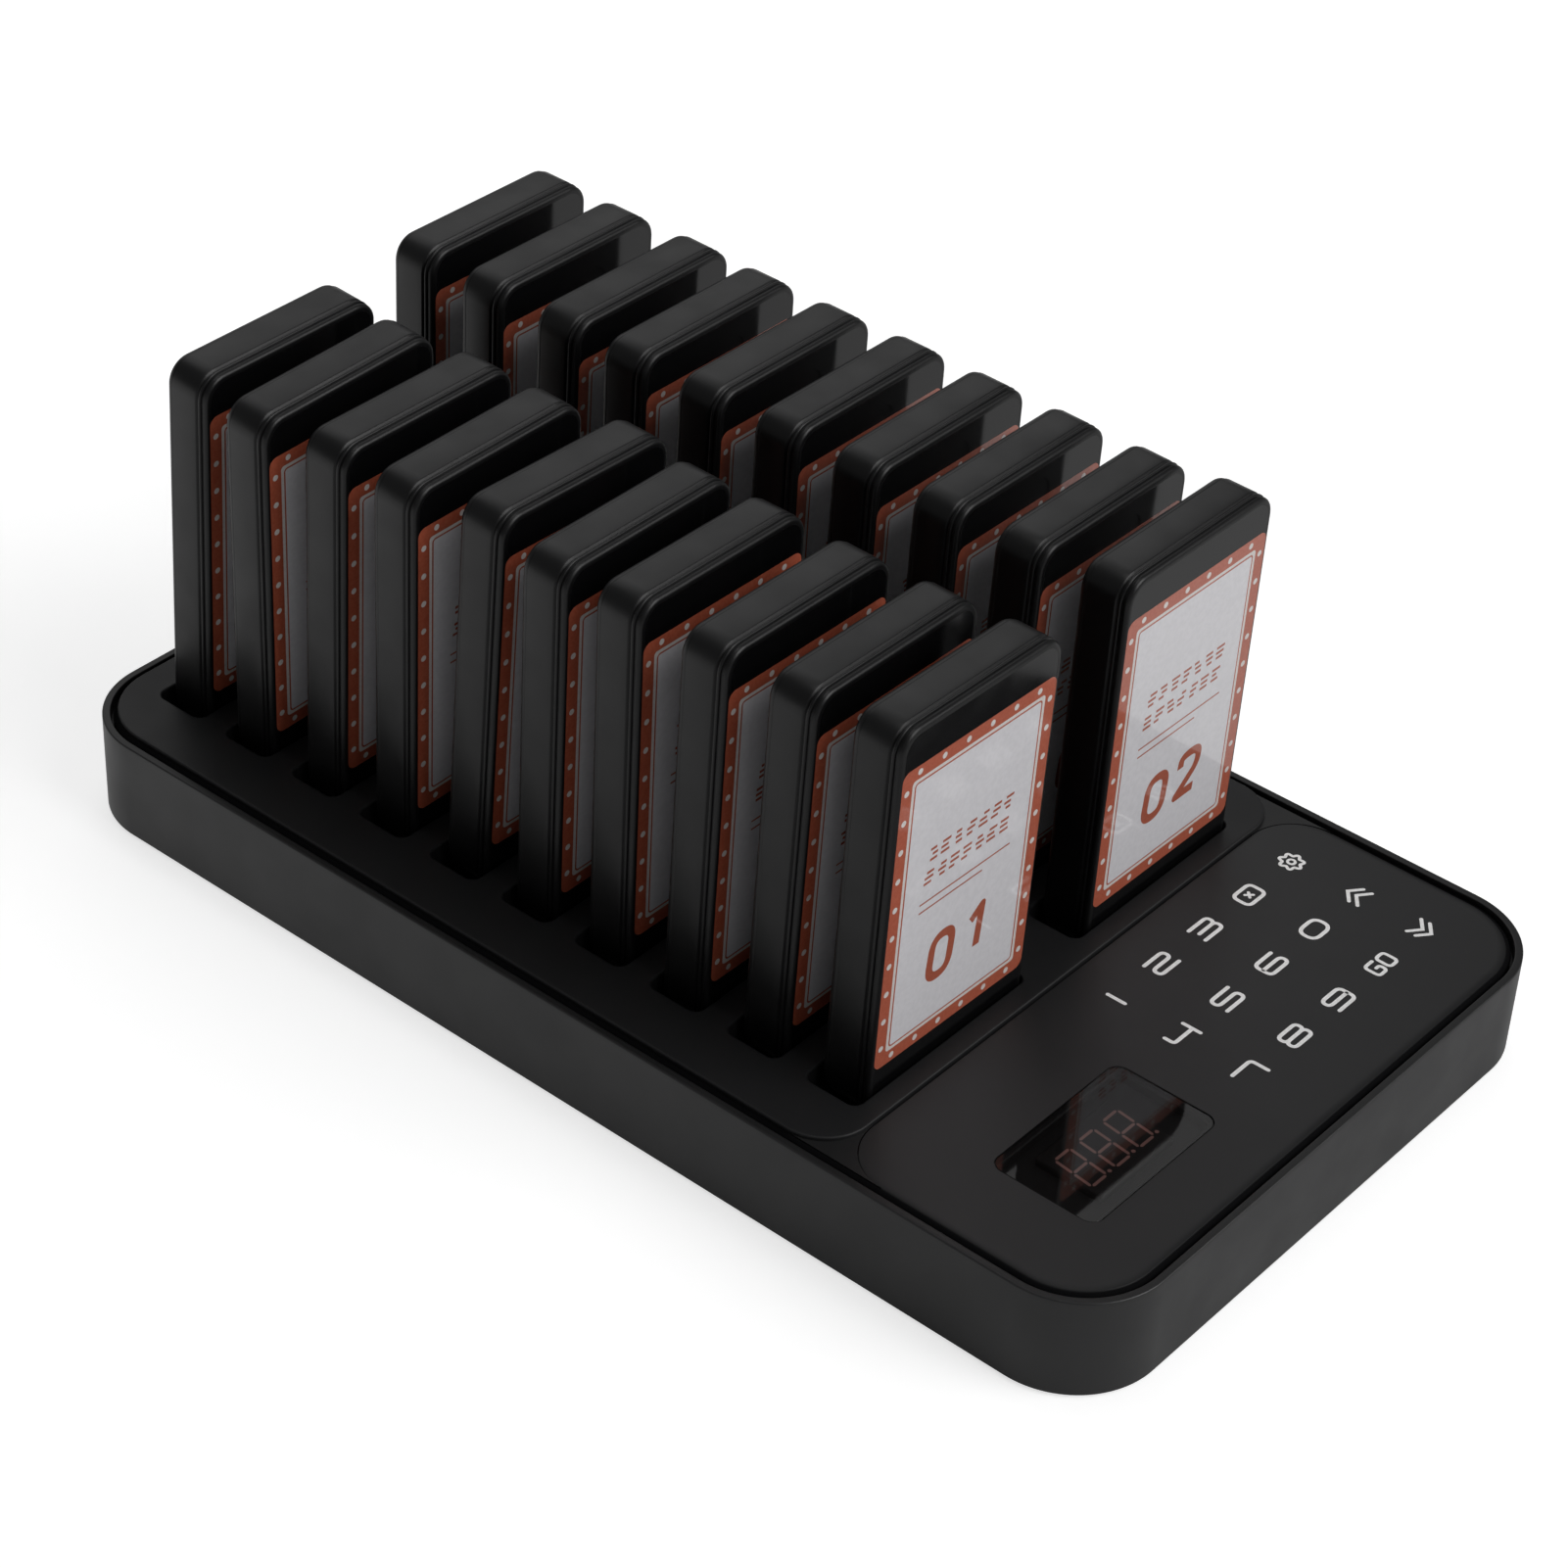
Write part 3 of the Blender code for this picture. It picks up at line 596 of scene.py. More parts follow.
def make_cover():
    """Cover: the rack platform with its slots, the edge band, and the two webs beside the inlay.

    The platform is a profile carried round its outline, with the cells of the rack inside. The band's
    top falls into the seam by a quarter of an ellipse. A web fills the corner between the inlay's
    rounded rear corner and the platform.
    """
    x_range = (COVER_LOW[0] + PLATFORM_INSET, COVER_HIGH[0] - PLATFORM_INSET)
    y_range = (PLATFORM_FRONT, COVER_HIGH[1] - PLATFORM_INSET)
    rows_front = SLOT_FIRST_Y - SLOT_PITCH / 2
    joints_y = rows_front + SLOT_PITCH * np.arange(1, SLOT_COUNT)
    rear_corner, front_corner = COVER_CORNER - PLATFORM_INSET, PLATFORM_FRONT_CORNER
    corners = (rear_corner, rear_corner, front_corner, front_corner)
    shape = rounded(x_range, y_range, corners, 20, (0.0,), joints_y)
    rows_y = (rows_front, rows_front + SLOT_PITCH * SLOT_COUNT)
    rows = rounded((-ROW_HALF_X, ROW_HALF_X), rows_y, 0.0, 20, (0.0,), joints_y)
    top, bottom = PLATFORM_TOP, COVER_LOW[2]
    wall = carry(
        shape,
        (1.0, top),
        arc(PLATFORM_ROUND, top - PLATFORM_ROUND, PLATFORM_ROUND, 90, 180, 5),
        (0.0, DECK_TOP),
        (0.0, COVER_UNDERSIDE),
    )
    below = carry(rows, (0.0, COVER_UNDERSIDE), (0.0, bottom))
    patches = [(*skin(np.concatenate([carry(rows, (0.0, top)), wall, below])), 0)]
    patches += [(*slot_patch(side, row), 0) for side in (-1, 1) for row in range(SLOT_COUNT)]
    piece("rack_platform", patches, [DECK_ABS], "base", ["top_cover"])

    outline = rounded(*plan_box(COVER_LOW, COVER_HIGH), COVER_CORNER, 28)
    steps = np.array([0.0, 0.05, 0.15, 0.3, 0.5, 0.75, 1.0, 1.25])
    band = carry(
        outline,
        (0.0, COVER_UNDERSIDE),
        np.stack([steps, DECK_TOP - fallen(steps)], -1),
        (steps[-1], COVER_UNDERSIDE + 1.0),
        (0.9, COVER_UNDERSIDE),
    )
    patches = [(*skin(band, loop=True), 0)]
    inlay, _ = rounded(*plan_box(INLAY_LOW, INLAY_HIGH), INLAY_CORNERS, 20)
    for side, quarter in ((-1, inlay[21:42]), (1, inlay[20::-1])):
        outer, inner = side * (COVER_HIGH[0] - INLAY_INSET), side * WEB_INNER_X
        edge = np.array([(outer, WEB_REAR), (inner, WEB_REAR), (inner, INLAY_HIGH[1] + WEB_GAP)])
        ring = np.concatenate([quarter + (0.0, WEB_GAP), edge])
        flat = (ring, np.zeros_like(ring))
        web = carry(flat, (0.0, COVER_UNDERSIDE + 0.2), (0.0, DECK_TOP))
        patches.append((*skin(web, "both"), 0))
    piece("cover_edge", patches, [EDGE_ABS_SEAM_SHADE], "base")


def make_inlay():
    """Keypad film: a ring from the window's opening out to its edge, which falls with the cover's edge.

    The fall is the cover's own, times a share that grows from 0 to 1 over the film's front part.
    """
    outline = rounded(*plan_box(INLAY_LOW, INLAY_HIGH), INLAY_CORNERS, 20)
    gap = WINDOW_GAP
    hole = rounded(*plan_box(WINDOW_LOW - gap, WINDOW_HIGH + gap), WINDOW_CORNER + gap, 20)
    low, high = INLAY_LOW[2], INLAY_HIGH[2]
    steps = np.array([2.2, 1.7, 1.2, 0.8, 0.4, 0.12, 0.0])
    edge = carry(outline, np.stack([steps, np.full_like(steps, high)], -1), (0.0, low))
    share = np.clip((INLAY_FALL_START - outline[0][:, 1]) / INLAY_FALL_LENGTH, 0.0, 1.0)
    edge[:-1, :, 2] -= fallen(steps + INLAY_INSET)[:, None] * share
    edge[-2, :, 2] -= 0.1
    rings = np.concatenate([carry(hole, (0.0, low), (0.0, high), (-0.6, high)), edge])
    patches = [(*skin(rings, loop=True), 0)]
    piece("keypad_film", patches, [KEYPAD_FILM], "base", ["keypad_panel"])


def make_window():
    """Window: one open sheet with a fine edge, tilted by a rise in proportion to Y. The well lies below.

    The well is a profile from the sheet's edge down to a floor with an opening for the display module.
    """
    window = rounded(*plan_box(WINDOW_LOW, WINDOW_HIGH), WINDOW_CORNER, 12)
    low, high = WINDOW_LOW[2], WINDOW_HIGH[2]
    rings = carry(window, (0.0, low), (0.0, high - 0.03), (0.03, high), (0.6, high))
    rings[1:, :, 2] += WINDOW_TILT * (rings[1:, :, 1] - WINDOW_HIGH[1])
    patches, hidden = [(*skin(rings, "last"), 0)], ["display_window"]
    piece("display_lens", patches, [WINDOW_ACRYLIC], "base", hidden, solid=False)
    module = rounded(*plan_box(LED_LOW - 0.1, LED_HIGH + 0.1), 0.7, 12)
    floor = LED_HIGH[2] - WELL_DEPTH
    below = floor - 0.8
    wall = ((-1.0, below), (-1.0, low - 0.1), (0.9, low - 0.1), (1.2, low - 0.4), (1.2, floor))
    rings = np.concatenate([carry(window, *wall), carry(module, (0.0, floor), (0.0, below))])
    piece("display_well", [(*skin(rings, loop=True), 0)], [DECK_ABS], "base")


# ------------------------ legends and digits


def bend(corners, radius, steps=6, closed=False):
    """Path through corners, each rounded by the curve (1-t)^2 p + 2t(1-t) c + t^2 q.

    p and q lie one radius, or half a side where that is shorter, before and after the corner c.
    """
    corners = np.asarray(corners, float)
    before = np.roll(corners, 1, 0)
    after = np.roll(corners, -1, 0)
    radius = np.broadcast_to(np.asarray(radius, float), (len(corners),))[:, None]

    def towards(other):
        leg = other - corners
        length = np.maximum(np.linalg.norm(leg, axis=1, keepdims=True), 1e-9)
        return corners + leg * np.minimum(radius / length, 0.49)

    p, q = towards(before), towards(after)
    t = np.linspace(0.0, 1.0, steps + 1)[None, :, None]
    curve = (1 - t) ** 2 * p[:, None] + 2 * t * (1 - t) * corners[:, None] + t**2 * q[:, None]
    if closed:
        return curve.reshape(-1, 2)
    return np.concatenate([corners[:1], curve[1:-1].reshape(-1, 2), corners[-1:]])


def unfolded(edge, step):
    """Edge of a band, with the points that double back inside a sharp bend moved to where its sides meet."""
    folds = np.flatnonzero(((edge[1:] - edge[:-1]) * step[:-1]).sum(1) < 0.0)
    for run in np.split(folds, np.flatnonzero(np.diff(folds) > 1) + 1):
        if run.size:
            first, last = run[0], run[-1] + 1
            before, after, gap = step[first - 1], step[last], edge[last] - edge[first]
            turn = before[0] * after[1] - before[1] * after[0]
            edge[first : last + 1] = edge[first] + before * (gap[0] * after[1] - gap[1] * after[0]) / turn
    return edge


def ribbon(path, width, closed=False, height=0.0, blunt=False):
    """Flat band along a path: each point moved half a width along the normal, both ways.

    At a bend the normal is the mean of its neighbours', lengthened so that the band keeps its width.
    An open band has round ends unless it is blunt.
    """
    gap = np.linalg.norm(np.roll(path, -1, 0) - path, axis=1)
    keep = gap > 1e-4
    if not closed:
        keep[-1] = True
    path = path[keep]
    step = np.roll(path, -1, 0) - path
    step = step / np.maximum(np.linalg.norm(step, axis=1, keepdims=True), 1e-9)
    if not closed:
        step[-1] = step[-2]
    back = np.roll(step, 1, 0)
    if not closed:
        back[0] = step[0]
    left = np.stack([-step[:, 1], step[:, 0]], -1)
    behind = np.stack([-back[:, 1], back[:, 0]], -1)
    mean = left + behind
    mean = mean / np.linalg.norm(mean, axis=1, keepdims=True)
    mean = mean / np.maximum((mean * left).sum(1, keepdims=True), 0.5)
    right_edge = unfolded(path - mean * width / 2, step)
    left_edge = unfolded(path + mean * width / 2, step)
    count = len(path)
    first = np.arange(count if closed else count - 1)
    after = (first + 1) % count
    faces = np.stack([first, after, after + count, first + count], -1).tolist()
    points = [right_edge, left_edge]
    if not closed and not blunt:
        swing = np.radians(np.linspace(0.0, 180.0, 9)[1:-1])[:, None]
        start = 2 * count
        for at, out, across in ((0, -step[0], -left[0]), (count - 1, step[-1], -left[-1])):
            fan = path[at] + width / 2 * (np.cos(swing) * across + np.sin(swing) * out)
            points.append(fan)
            round_end = [at] + list(range(start, start + len(fan))) + [at + count]
            faces.append(round_end if at else round_end[::-1])
            start += len(fan)
    flat = np.concatenate(points)
    return np.concatenate([flat, np.full((len(flat), 1), height)], -1), faces


def moved(patch, offset, shear=0.0):
    """A patch with a share of y added to its x, then shifted by (x, y) or (x, y, z)."""
    points, faces = patch
    points = points.copy()
    points[:, 0] += shear * points[:, 1]
    points[:, : len(offset)] += offset
    return points, faces


# Strokes of the touch legends, on a grid of half widths and half heights: (corners, bend, closed).
KEY_STROKES = {
    "1": [([(0, 1), (0, -1)], 0.0, False)],
    "2": [([(-1, 1), (1, 1), (1, 0), (-1, 0), (-1, -1), (1, -1)], 1.5, False)],
    "3": [
        ([(-1, 1), (1, 1), (1, 0), (-0.75, 0)], 1.5, False),
        ([(0.2, 0), (1, 0), (1, -1), (-1, -1)], 1.5, False),
    ],
    "4": [([(-1, 1), (-1, -0.1), (1, -0.1)], 1.0, False), ([(1, 1), (1, -1)], 0.0, False)],
    "5": [([(1, 1), (-1, 1), (-1, 0), (1, 0), (1, -1), (-1, -1)], 1.5, False)],
    "6": [([(0.9, 1), (-1, 1), (-1, -1), (1, -1), (1, 0), (-0.9, 0)], 1.6, False)],
    "7": [([(-1, 1), (1, 1), (1, -1)], 1.3, False)],
    "8": [
        ([(-1, 0), (1, 0), (1, 1), (-1, 1)], 1.5, True),
        ([(-1, -1), (1, -1), (1, 0), (-1, 0)], 1.5, True),
    ],
    "9": [([(-0.9, -1), (1, -1), (1, 1), (-1, 1), (-1, 0), (0.9, 0)], 1.6, False)],
    "0": [([(-1, -1), (1, -1), (1, 1), (-1, 1)], 2.6, True)],
}
KEY_HALF = (3.65, 2.5)
KEY_COLUMNS = -0.34 + 18.1 * np.arange(5)
KEY_ROWS = (-99.95, -119.2, -138.5)
KEY_STROKE = 1.05
NARROW_STROKE = 0.95


def legend(strokes, half=KEY_HALF, width=KEY_STROKE):
    """Ribbons for one legend; each next stroke lies a hair lower, so that crossings never share a plane."""
    made = []
    for order, (corners, radius, closed) in enumerate(strokes):
        path = bend(np.asarray(corners, float) * half, radius, 7, closed)
        made.append(ribbon(path, width, closed, -0.004 * order))
    return made


def make_legends():
    """Fifteen touch legends: ten digits, a cross in a box, a gear, two double chevrons and the send key.

    The gear's radius is a mean plus an amplitude times cos(7 a), for its seven teeth.
    """
    rows = (("1", "2", "3"), ("4", "5", "6", "0"), ("7", "8", "9"))
    placed = []
    for y, names in zip(KEY_ROWS, rows):
        for x, name in zip(KEY_COLUMNS, names):
            placed += [(mark, x, y) for mark in legend(KEY_STROKES[name])]
    box = [([(-1, -1), (1, -1), (1, 1), (-1, 1)], 1.7, True)]
    cross = [([(-1, -1), (1, 1)], 0.0, False), ([(-1, 1), (1, -1)], 0.0, False)]
    x, y = KEY_COLUMNS[3], KEY_ROWS[0]
    placed += [(mark, x, y) for mark in legend(box, (3.6, 2.55)) + legend(cross, (0.75, 0.75), 0.8)]

    angle = 2 * math.pi * np.arange(84) / 84
    reach = 2.75 + 0.42 * np.cos(7 * angle)
    gear = np.stack([reach * np.cos(angle), reach * np.sin(angle)], -1)
    hub, _ = circle((0.0, 0.0), 0.95, 28)
    x, y = KEY_COLUMNS[4], KEY_ROWS[0]
    placed += [(ribbon(gear, 0.85, True), x, y), (ribbon(hub, 0.75, True), x, y)]

    chevron = [([(-1, -0.5), (0, 0.5), (1, -0.5)], 0.0, False)]
    for y, sign in ((KEY_ROWS[1], 1.0), (KEY_ROWS[2], -1.0)):
        for offset in (-1.25, 1.25):
            marks = legend(chevron, (3.2, 2.5 * sign), NARROW_STROKE)
            placed += [(mark, KEY_COLUMNS[4], y + offset) for mark in marks]

    open_ring = [([(1, 1), (-1, 1), (-1, -1), (1, -1), (1, 0), (0.15, 0)], 1.1, False)]
    ring = [([(-1, -1), (1, -1), (1, 1), (-1, 1)], 1.2, True)]
    x, y = KEY_COLUMNS[3], KEY_ROWS[2]
    for letter, offset in ((open_ring, -2.35), (ring, 2.35)):
        placed += [(mark, x + offset, y) for mark in legend(letter, (1.65, 2.2), NARROW_STROKE)]

    height = INLAY_HIGH[2] + PRINT_LIFT
    patches = [(*moved(mark, (x, y, height)), 0) for mark, x, y in placed]
    piece("touch_legends", patches, [LEGEND_INK], "base", solid=False)


def make_display():
    """Display module: a chamfered block with three digits of seven bars and three points.

    A bar is a long hexagon: its two ends are points on the bar's line, and its four other corners lie
    half a width to each side, half a width in from the ends.
    """
    block = rounded(*plan_box(LED_LOW, LED_HIGH), 0.6, 4)
    rings = carry(block, (0.0, LED_LOW[2]), (0.0, LED_HIGH[2] - 0.3), (0.3, LED_HIGH[2]))
    patches = [(*skin(rings, "both"), 0)]
    piece("display_module", patches, [LED_HOUSING], "base", ["led_display"])

    half_w, half_h, half_bar, gap = 2.75, 5.7, 0.4, 0.25
    pitch, slant = 8.97, 0.105
    bars = [((-half_w, y), (half_w, y)) for y in (-half_h, 0.0, half_h)]
    for x in (-half_w, half_w):
        bars += [((x, -half_h), (x, 0.0)), ((x, 0.0), (x, half_h))]
    height = LED_HIGH[2] + PRINT_LIFT
    middle = (LED_LOW + LED_HIGH) / 2
    patches = []
    for digit in (-1, 0, 1):
        x = middle[0] + pitch * digit
        for start, end in bars:
            start, end = np.array(start), np.array(end)
            along = (end - start) / np.linalg.norm(end - start)
            across = half_bar * np.array([-along[1], along[0]])
            a, b, chamfer = start + gap * along, end - gap * along, half_bar * along
            lower = (a, a + chamfer - across, b - chamfer - across)
            upper = (b, b - chamfer + across, a + chamfer + across)
            bar = layer((np.array(lower + upper), np.zeros((6, 2))), height)
            patches.append((*moved(bar, (x, middle[1]), slant), 0))
        point = circle((x + 3.6, middle[1] - half_h + 0.3), 0.55, 14)
        patches.append((*layer(point, height), 0))
    piece("display_segments", patches, [LED_SEGMENT], "base", solid=False)


# ------------------------ pagers


def node_points(name):
    """Every point of a CAD node, in millimetres."""
    mesh = frame["nodes"][name].data
    points = np.empty(len(mesh.vertices) * 3, np.float32)
    mesh.vertices.foreach_get("co", points)
    return points.reshape(-1, 3).astype(float) / MM


def pager_place(number):
    """(turn, origin) of one pager: its joint's axis gives lean and tilt, its CAD solids the lower edge."""
    name = f"pager_{number:02d}"
    axis = next(joint["axis"] for joint in frame["joints"] if joint["name"] == f"{name}_lift")
    lean, tilt = math.atan2(-axis[1], axis[2]), math.asin(axis[0])
    turn = np.array(Euler((lean, tilt, 0.0), "YXZ").to_matrix())
    own = np.concatenate([node_points(f"{name}_case"), node_points(f"{name}_front")]) @ turn
    low, high = own.min(0), own.max(0)
    return turn, turn @ np.array([(low[0] + high[0]) / 2, (low[1] + high[1]) / 2, low[2]])


def pager_outline():
    """Outline of a pager's face: x about its middle line and y up from its lower edge."""
    half = PAGER_WIDTH / 2
    return rounded((-half, half), (0.0, PAGER_HEIGHT), PAGER_CORNER, 10)


def make_shell(name, place):
    """Rear case: a profile by depth round the upright outline, with a shallow panel sunk into the back."""
    face, back = -PAGER_DEPTH / 2, PAGER_DEPTH / 2
    parting = face + PARTING_DEPTH
    side = carry(
        pager_outline(),
        (PAGER_WALL, back - PAGER_WALL),
        (PAGER_WALL, parting),
        (0.55, parting - 0.3),
        arc(0.45, parting + 0.4, 0.45, 250, 180, 4),
        (0.0, face + 5.4),
        (0.0, back - 2.75),
        (0.06, back - 2.5),
        (0.3, back - 2.4),
        arc(2.35, back - 2.1, 2.1, 184, 90, 8),
        (3.0, back),
    )
    sunk = back - BACK_PANEL_DEPTH
    panel = about(BACK_PANEL_MIDDLE, BACK_PANEL_SIZE, 4.0, 10)
    rings = np.concatenate([side, carry(panel, (-0.3, back), (0.0, sunk), (0.4, sunk))])
    points, faces = skin(rings, "both")
    patches = [(upright(points), faces, 0)]
    for x in (-CONTACT_X, CONTACT_X):
        pad = about((x, 2.0), CONTACT_SIZE, 0.8, 5)
        patches.append((*skin(carry(pad, (0.0, 0.4), (0.0, -0.02), (0.15, -0.12)), "both"), 1))
    finishes = [SHELL_ABS, CONTACT_GOLD]
    piece(f"{name}_shell", patches, finishes, name, [f"{name}_case"], place=place)


def make_front(name, place):
    """Front: a profile by depth round the outline, with a lip, a fine groove and a soft bevel.

    The flat face inside the bevel is the only polished part.
    """
    face = -PAGER_DEPTH / 2
    edge = carry(
        pager_outline(),
        (0.55, face + 3.1),
        (0.55, face + 2.9),
        (0.42, face + 2.82),
        arc(0.42, face + 2.38, 0.42, 90, 270, 8),
        (0.6, face + 1.86),
        (0.6, face + 1.46),
        (0.45, face + 1.32),
        (0.32, face + 1.24),
        arc(1.34, face + 1.1, 1.1, 180, 270, 6),
        (1.9, face),
    )
    patches = []
    for rings, caps, finish in ((edge, "first", 0), (edge[-1:], "last", 1)):
        points, faces = skin(rings, caps)
        patches.append((upright(points), faces, finish))
    finishes = [SHELL_ABS, FRONT_GLOSS]
    piece(f"{name}_face", patches, finishes, name, [f"{name}_front"], place=place)


# Centre lines of the card's digits on a unit box: (corners, bend as a share of the width, closed).
CARD_FIVE = [(0.92, 1), (0.12, 1), (0.04, 0.56), (1, 0.62), (1, 0), (0.08, 0), (0, 0.16)]
CARD_SIX = [(0.84, 1), (0, 0.9), (0, 0), (1, 0), (1, 0.58), (0.17, 0.58)]
CARD_STROKES = {
    "0": [([(0, 0), (1, 0), (1, 1), (0, 1)], (0.52,) * 4, True)],
    "1": [([(0.12, 0.74), (0.62, 1.0), (0.62, 0.0)], (0, 0.02, 0), False)],
    "2": [([(0, 0.72), (0, 1), (1, 1), (1, 0.56), (0, 0), (1, 0)], (0, 0.45, 0.5, 0.3, 0.02, 0), False)],
    "3": [
        ([(0, 0.84), (0.1, 1), (1, 1), (1, 0.53), (0.36, 0.53)], (0, 0.3, 0.5, 0.45, 0), False),
        ([(0.5, 0.53), (1, 0.53), (1, 0), (0.08, 0), (0, 0.18)], (0, 0.45, 0.5, 0.3, 0), False),
    ],
    "4": [
        ([(0.74, 1), (0, 0.28), (1, 0.28)], (0, 0.02, 0), False),
        ([(0.74, 0), (0.74, 1.06)], (0, 0), False),
    ],
    "5": [(CARD_FIVE, (0, 0.03, 0.03, 0.5, 0.5, 0.3, 0), False)],
    "6": [(CARD_SIX, (0, 0.6, 0.5, 0.5, 0.5, 0), False)],
    "7": [([(0, 1), (1, 1), (0.34, 0)], (0, 0.02, 0), False)],
    "8": [
        ([(0, 0), (1, 0), (1, 0.53), (0, 0.53)], (0.48,) * 4, True),
        ([(0.07, 0.53), (0.93, 0.53), (0.93, 1), (0.07, 1)], (0.44,) * 4, True),
    ],
}
CARD_STROKES["9"] = [
    ([(1 - x, 1 - y) for x, y in corners], radii, closed) for corners, radii, closed in CARD_STROKES["6"]
]
DIGIT_SIZE = (7.2, 11.6)
DIGIT_STROKE = 2.5


def card_digit(name, middle_x, middle_y):
    """One digit of the card's number, with a slight slant."""
    made = []
    for order, (corners, radii, closed) in enumerate(CARD_STROKES[name]):
        corners = (np.asarray(corners, float) - 0.5) * DIGIT_SIZE
        path = bend(corners, np.asarray(radii) * DIGIT_SIZE[0], 10, closed)
        patch = ribbon(path, DIGIT_STROKE, closed, -0.003 * order, blunt=True)
        made.append(moved(patch, (middle_x, middle_y), shear=0.08))
    return made


def card_art(number):
    """Print of one card as (patch, layer, finish number), on x and height from its lower left corner.

    An orange card with white dots along its edge, a thin line round the panel, two rows of plain bars
    in place of writing, two long lines and the number. Bars slant by a share of their height.
    """
    w, h = CARD_SIZE
    middle = (w / 2, h / 2)
    border = CARD_BORDER
    art = [(layer(about(middle, (w, h), 2.4, 8), 0.0), 0, 0)]
    art.append((layer(about(middle, (w - 2 * border, h - 2 * border), 1.0, 5), 0.0), 1, 1))
    inner = border + 0.9
    line = rounded((inner, w - inner), (inner, h - inner), 1.2, 6)
    art.append((layer(line, 0.0), 2, 0))
    art.append((layer((line[0] - 0.45 * line[1], line[1]), 0.0), 3, 2))

    inset = CARD_DOT_INSET
    side_y = inset + (h - 2 * inset) * (np.arange(10) + 0.5) / 10
    end_x = inset + (w - 2 * inset) * (np.arange(6) + 0.5) / 6
    dots = [(x, y) for x in (inset, w - inset) for y in side_y]
    dots += [(x, y) for y in (inset, h - inset) for x in end_x]
    art += [(layer(circle(dot, CARD_DOT_RADIUS, 12), 0.0), 1, 1) for dot in dots]

    dice = np.random.default_rng(number)
    for row_y in (0.66 * h, 0.585 * h):
        for spot in range(7):
            x = w * (0.21 + 0.58 * (spot + 0.5) / 7)
            for bar in range(3):
                length = 1.7 + 1.7 * dice.random()
                y = row_y + 1.45 * (bar - 1)
                x0 = x - 1.75 + (3.5 - length) * dice.random() + CARD_SLANT * (y - h * 0.62)
                art.append((layer(rounded((x0, x0 + length), (y - 0.36, y + 0.36), 0.12, 2), 0.0), 4, 3))
    for y, x0, x1 in ((0.502 * h, 0.2 * w, 0.8 * w), (0.474 * h, 0.2 * w, 0.62 * w)):
        art.append((layer(rounded((x0, x1), (y - 0.22, y + 0.22), 0.1, 2), 0.0), 4, 3))
    tens, ones = divmod(number, 10)
    for digit, x, y in ((tens, 0.386 * w, 0.272 * h), (ones, 0.628 * w, 0.278 * h)):
        art += [(mark, 4, 3) for mark in card_digit(str(digit), x, y)]
    return art


def make_card(name, number, place):
    """Printed card: flat layers of ink on the face, each a hair in front of the last."""
    patches = []
    for (points, faces), level, finish in card_art(number):
        x = points[:, 0] - CARD_SIZE[0] / 2
        z = points[:, 1] + CARD_BOTTOM
        y = -PAGER_DEPTH / 2 - 0.02 - INK_STEP * level - points[:, 2]
        patches.append((np.stack([x, y, z], -1), faces, finish))
    finishes = [CARD_ORANGE, CARD_WHITE, CARD_PANEL, CARD_LETTER]
    piece(f"{name}_card", patches, finishes, name, solid=False, place=place)


def make_pagers():
    """Case, front and card of every pager, each at its own lean and tilt."""
    for number in range(1, PAGER_COUNT + 1):
        name = f"pager_{number:02d}"
        place = pager_place(number)
        make_shell(name, place)
        make_front(name, place)
        make_card(name, number, place)


# ------------------------ CAD pieces that stay


def dress_nodes():
    """Finishes of the CAD pieces that stay as they are."""
    for finish, nodes in (
        (FOOT_RUBBER, FOOT_NODES),
        (BOARD_GREEN, ("main_board", "touch_board", "pager_01_board")),
        (BOARD_BLACK, ("charge_board_left", "charge_board_right")),
        (SOCKET_PLASTIC, ("buzzer", "power_jack")),
        (COIL_COPPER, ("antenna_coil",)),
        (CELL_WRAP, ("pager_01_cell",)),
        (MOTOR_STEEL, ("pager_01_motor",)),
    ):
        for node in nodes:
            mesh = frame["nodes"][node].data
            mesh.materials.clear()
            mesh.materials.append(finish)


# ------------------------ studio


def make_floor():
    """Counter: one large flat sheet of pale matte paper, with soft clouds of fibre.

    It glows: strongly to the camera, so that it looks white, and weakly to the rest, more towards
    the rear, so that it throws less light back at the dark plastic.
    """
    made, tree, place = blank("paper_sweep_white")
    fibre = add(tree, "ShaderNodeTexNoise", {"Vector": place, "Scale": 1 / (4.0 * MM), "Detail": 3.0})
    tones = {"Factor": fibre.outputs["Fac"], MIX_A: linear("D0D0D0"), MIX_B: linear("D6D6D6")}
    tone = add(tree, "ShaderNodeMix", tones, data_type="RGBA")
    paper = add(tree, "ShaderNodeBsdfDiffuse", {"Color": tone.outputs[MIX_RESULT]})
    seen = add(tree, "ShaderNodeLightPath").outputs["Is Camera Ray"]
    across = add(tree, "ShaderNodeSeparateXYZ", {"Vector": place}).outputs["Y"]
    run = {"Value": across, "From Min": -0.15, "From Max": 0.25, "To Min": 0.05, "To Max": 0.28}
    unseen = add(tree, "ShaderNodeMapRange", run).outputs["Result"]
    strength = add(tree, "ShaderNodeMapRange", {"Value": seen, "To Min": unseen, "To Max": 0.68})
    glow = add(tree, "ShaderNodeEmission", {"Strength": strength.outputs["Result"]})
    both = add(tree, "ShaderNodeAddShader", {0: paper.outputs[0], 1: glow.outputs[0]})
    add(tree, "ShaderNodeOutputMaterial", {"Surface": both.outputs[0]})
    reach = 30000.0
    sheet = rounded((-reach, reach), (-reach, reach), 0.0, 1)
    piece("counter", [(*layer(sheet, 0.0), 0)], [made], None, solid=False)


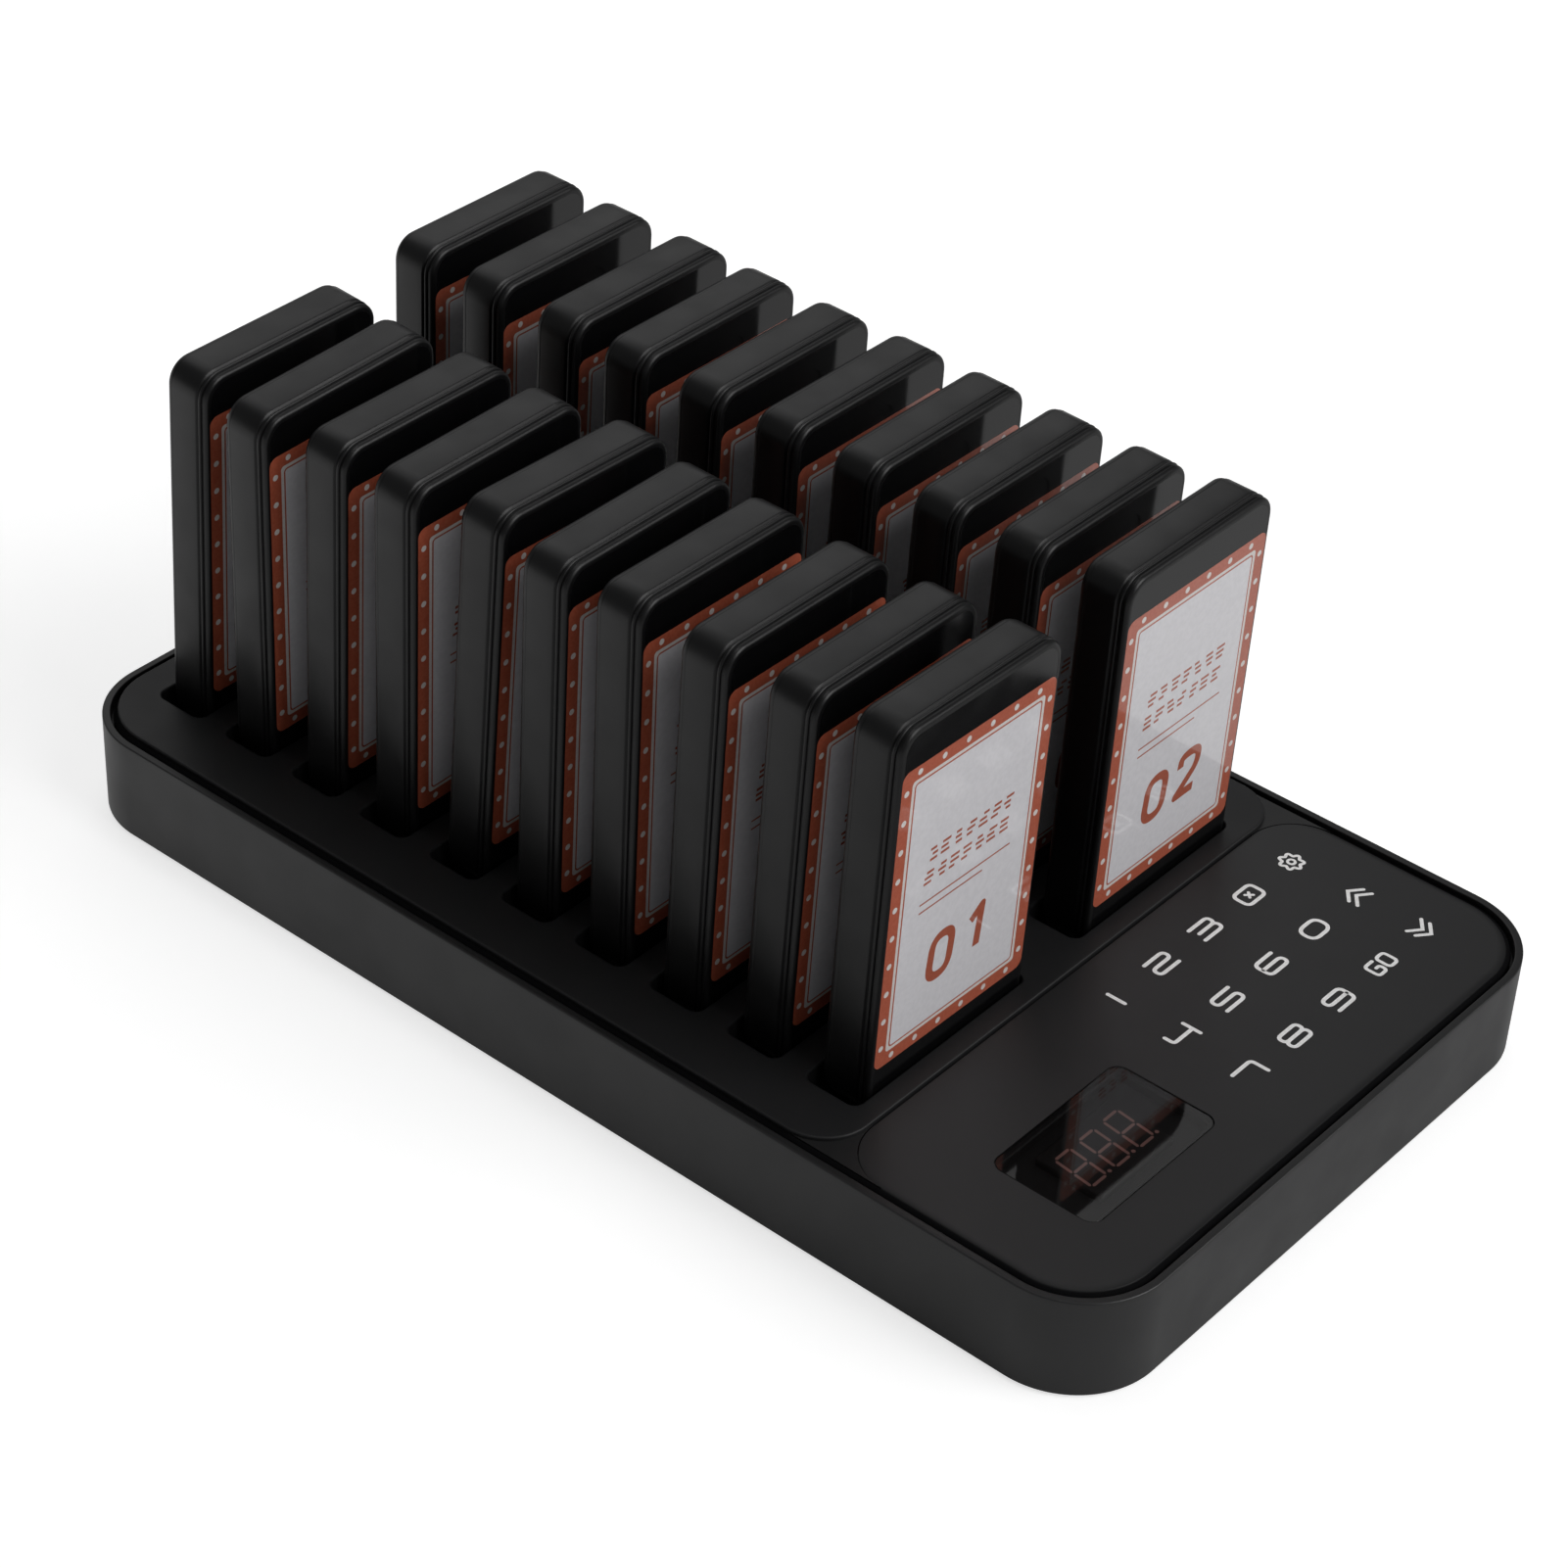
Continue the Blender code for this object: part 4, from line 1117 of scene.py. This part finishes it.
def make_lights():
    """Soft studio light: a weak white surround, two broad suns and a softbox behind the rack."""
    world = bpy.data.worlds.new("studio")
    world.use_nodes = True
    back = world.node_tree.nodes["Background"]
    back.inputs["Color"].default_value = (1.0, 1.0, 1.0, 1.0)
    back.inputs["Strength"].default_value = 0.13
    bpy.context.scene.world = world

    key = bpy.data.lights.new("key", "SUN")
    key.energy = 1.6
    key.angle = math.radians(45.0)
    top = bpy.data.lights.new("top", "SUN")
    top.energy = 0.3
    top.angle = math.radians(30.0)
    softbox = bpy.data.lights.new("rear_softbox", "AREA")
    softbox.shape = "RECTANGLE"
    softbox.size = 1.5
    softbox.size_y = 1.1
    softbox.energy = 3.15
    for lamp, place, towards in (
        (key, (0.0, 0.0, 0.0), (0.26, -0.74, 0.62)),
        (top, (0.0, 0.0, 0.0), (0.05, 0.10, 1.0)),
        (softbox, (0.74, 1.02, 1.04), (0.74, 0.97, 0.99)),
    ):
        made = bpy.data.objects.new(lamp.name, lamp)
        made.location = place
        made.rotation_euler = Vector(towards).to_track_quat("Z", "Y").to_euler()
        bpy.context.scene.collection.objects.link(made)


def make_camera():
    """Looks down on the keypad end's left corner, from about a metre, rolled by 3 degrees."""
    azimuth = math.radians(-51.39)
    elevation = math.radians(36.774)
    roll = math.radians(3.078)
    aim = Vector((0.00972, 0.01149, 0.0286))
    distance = 1.0055
    level = math.cos(elevation)
    back = Vector((math.sin(azimuth) * level, -math.cos(azimuth) * level, math.sin(elevation)))
    level_right = Vector((math.cos(azimuth), math.sin(azimuth), 0.0))
    level_up = back.cross(level_right)
    right = level_right * math.cos(roll) + level_up * math.sin(roll)
    up = back.cross(right)
    lens = bpy.data.cameras.new("view")
    lens.lens = 92.05
    lens.sensor_width = 36.0
    lens.clip_start = 0.01
    lens.clip_end = 100.0
    made = bpy.data.objects.new("view", lens)
    place = Matrix((right, up, back)).transposed().to_4x4()
    place.translation = aim + back * distance
    made.matrix_world = place
    bpy.context.scene.collection.objects.link(made)
    bpy.context.scene.camera = made


make_tub()
make_cover()
make_inlay()
make_window()
make_legends()
make_display()
make_pagers()
dress_nodes()
make_floor()
make_lights()
make_camera()
bpy.context.scene.view_settings.view_transform = "Standard"

bpy.context.view_layer.update()
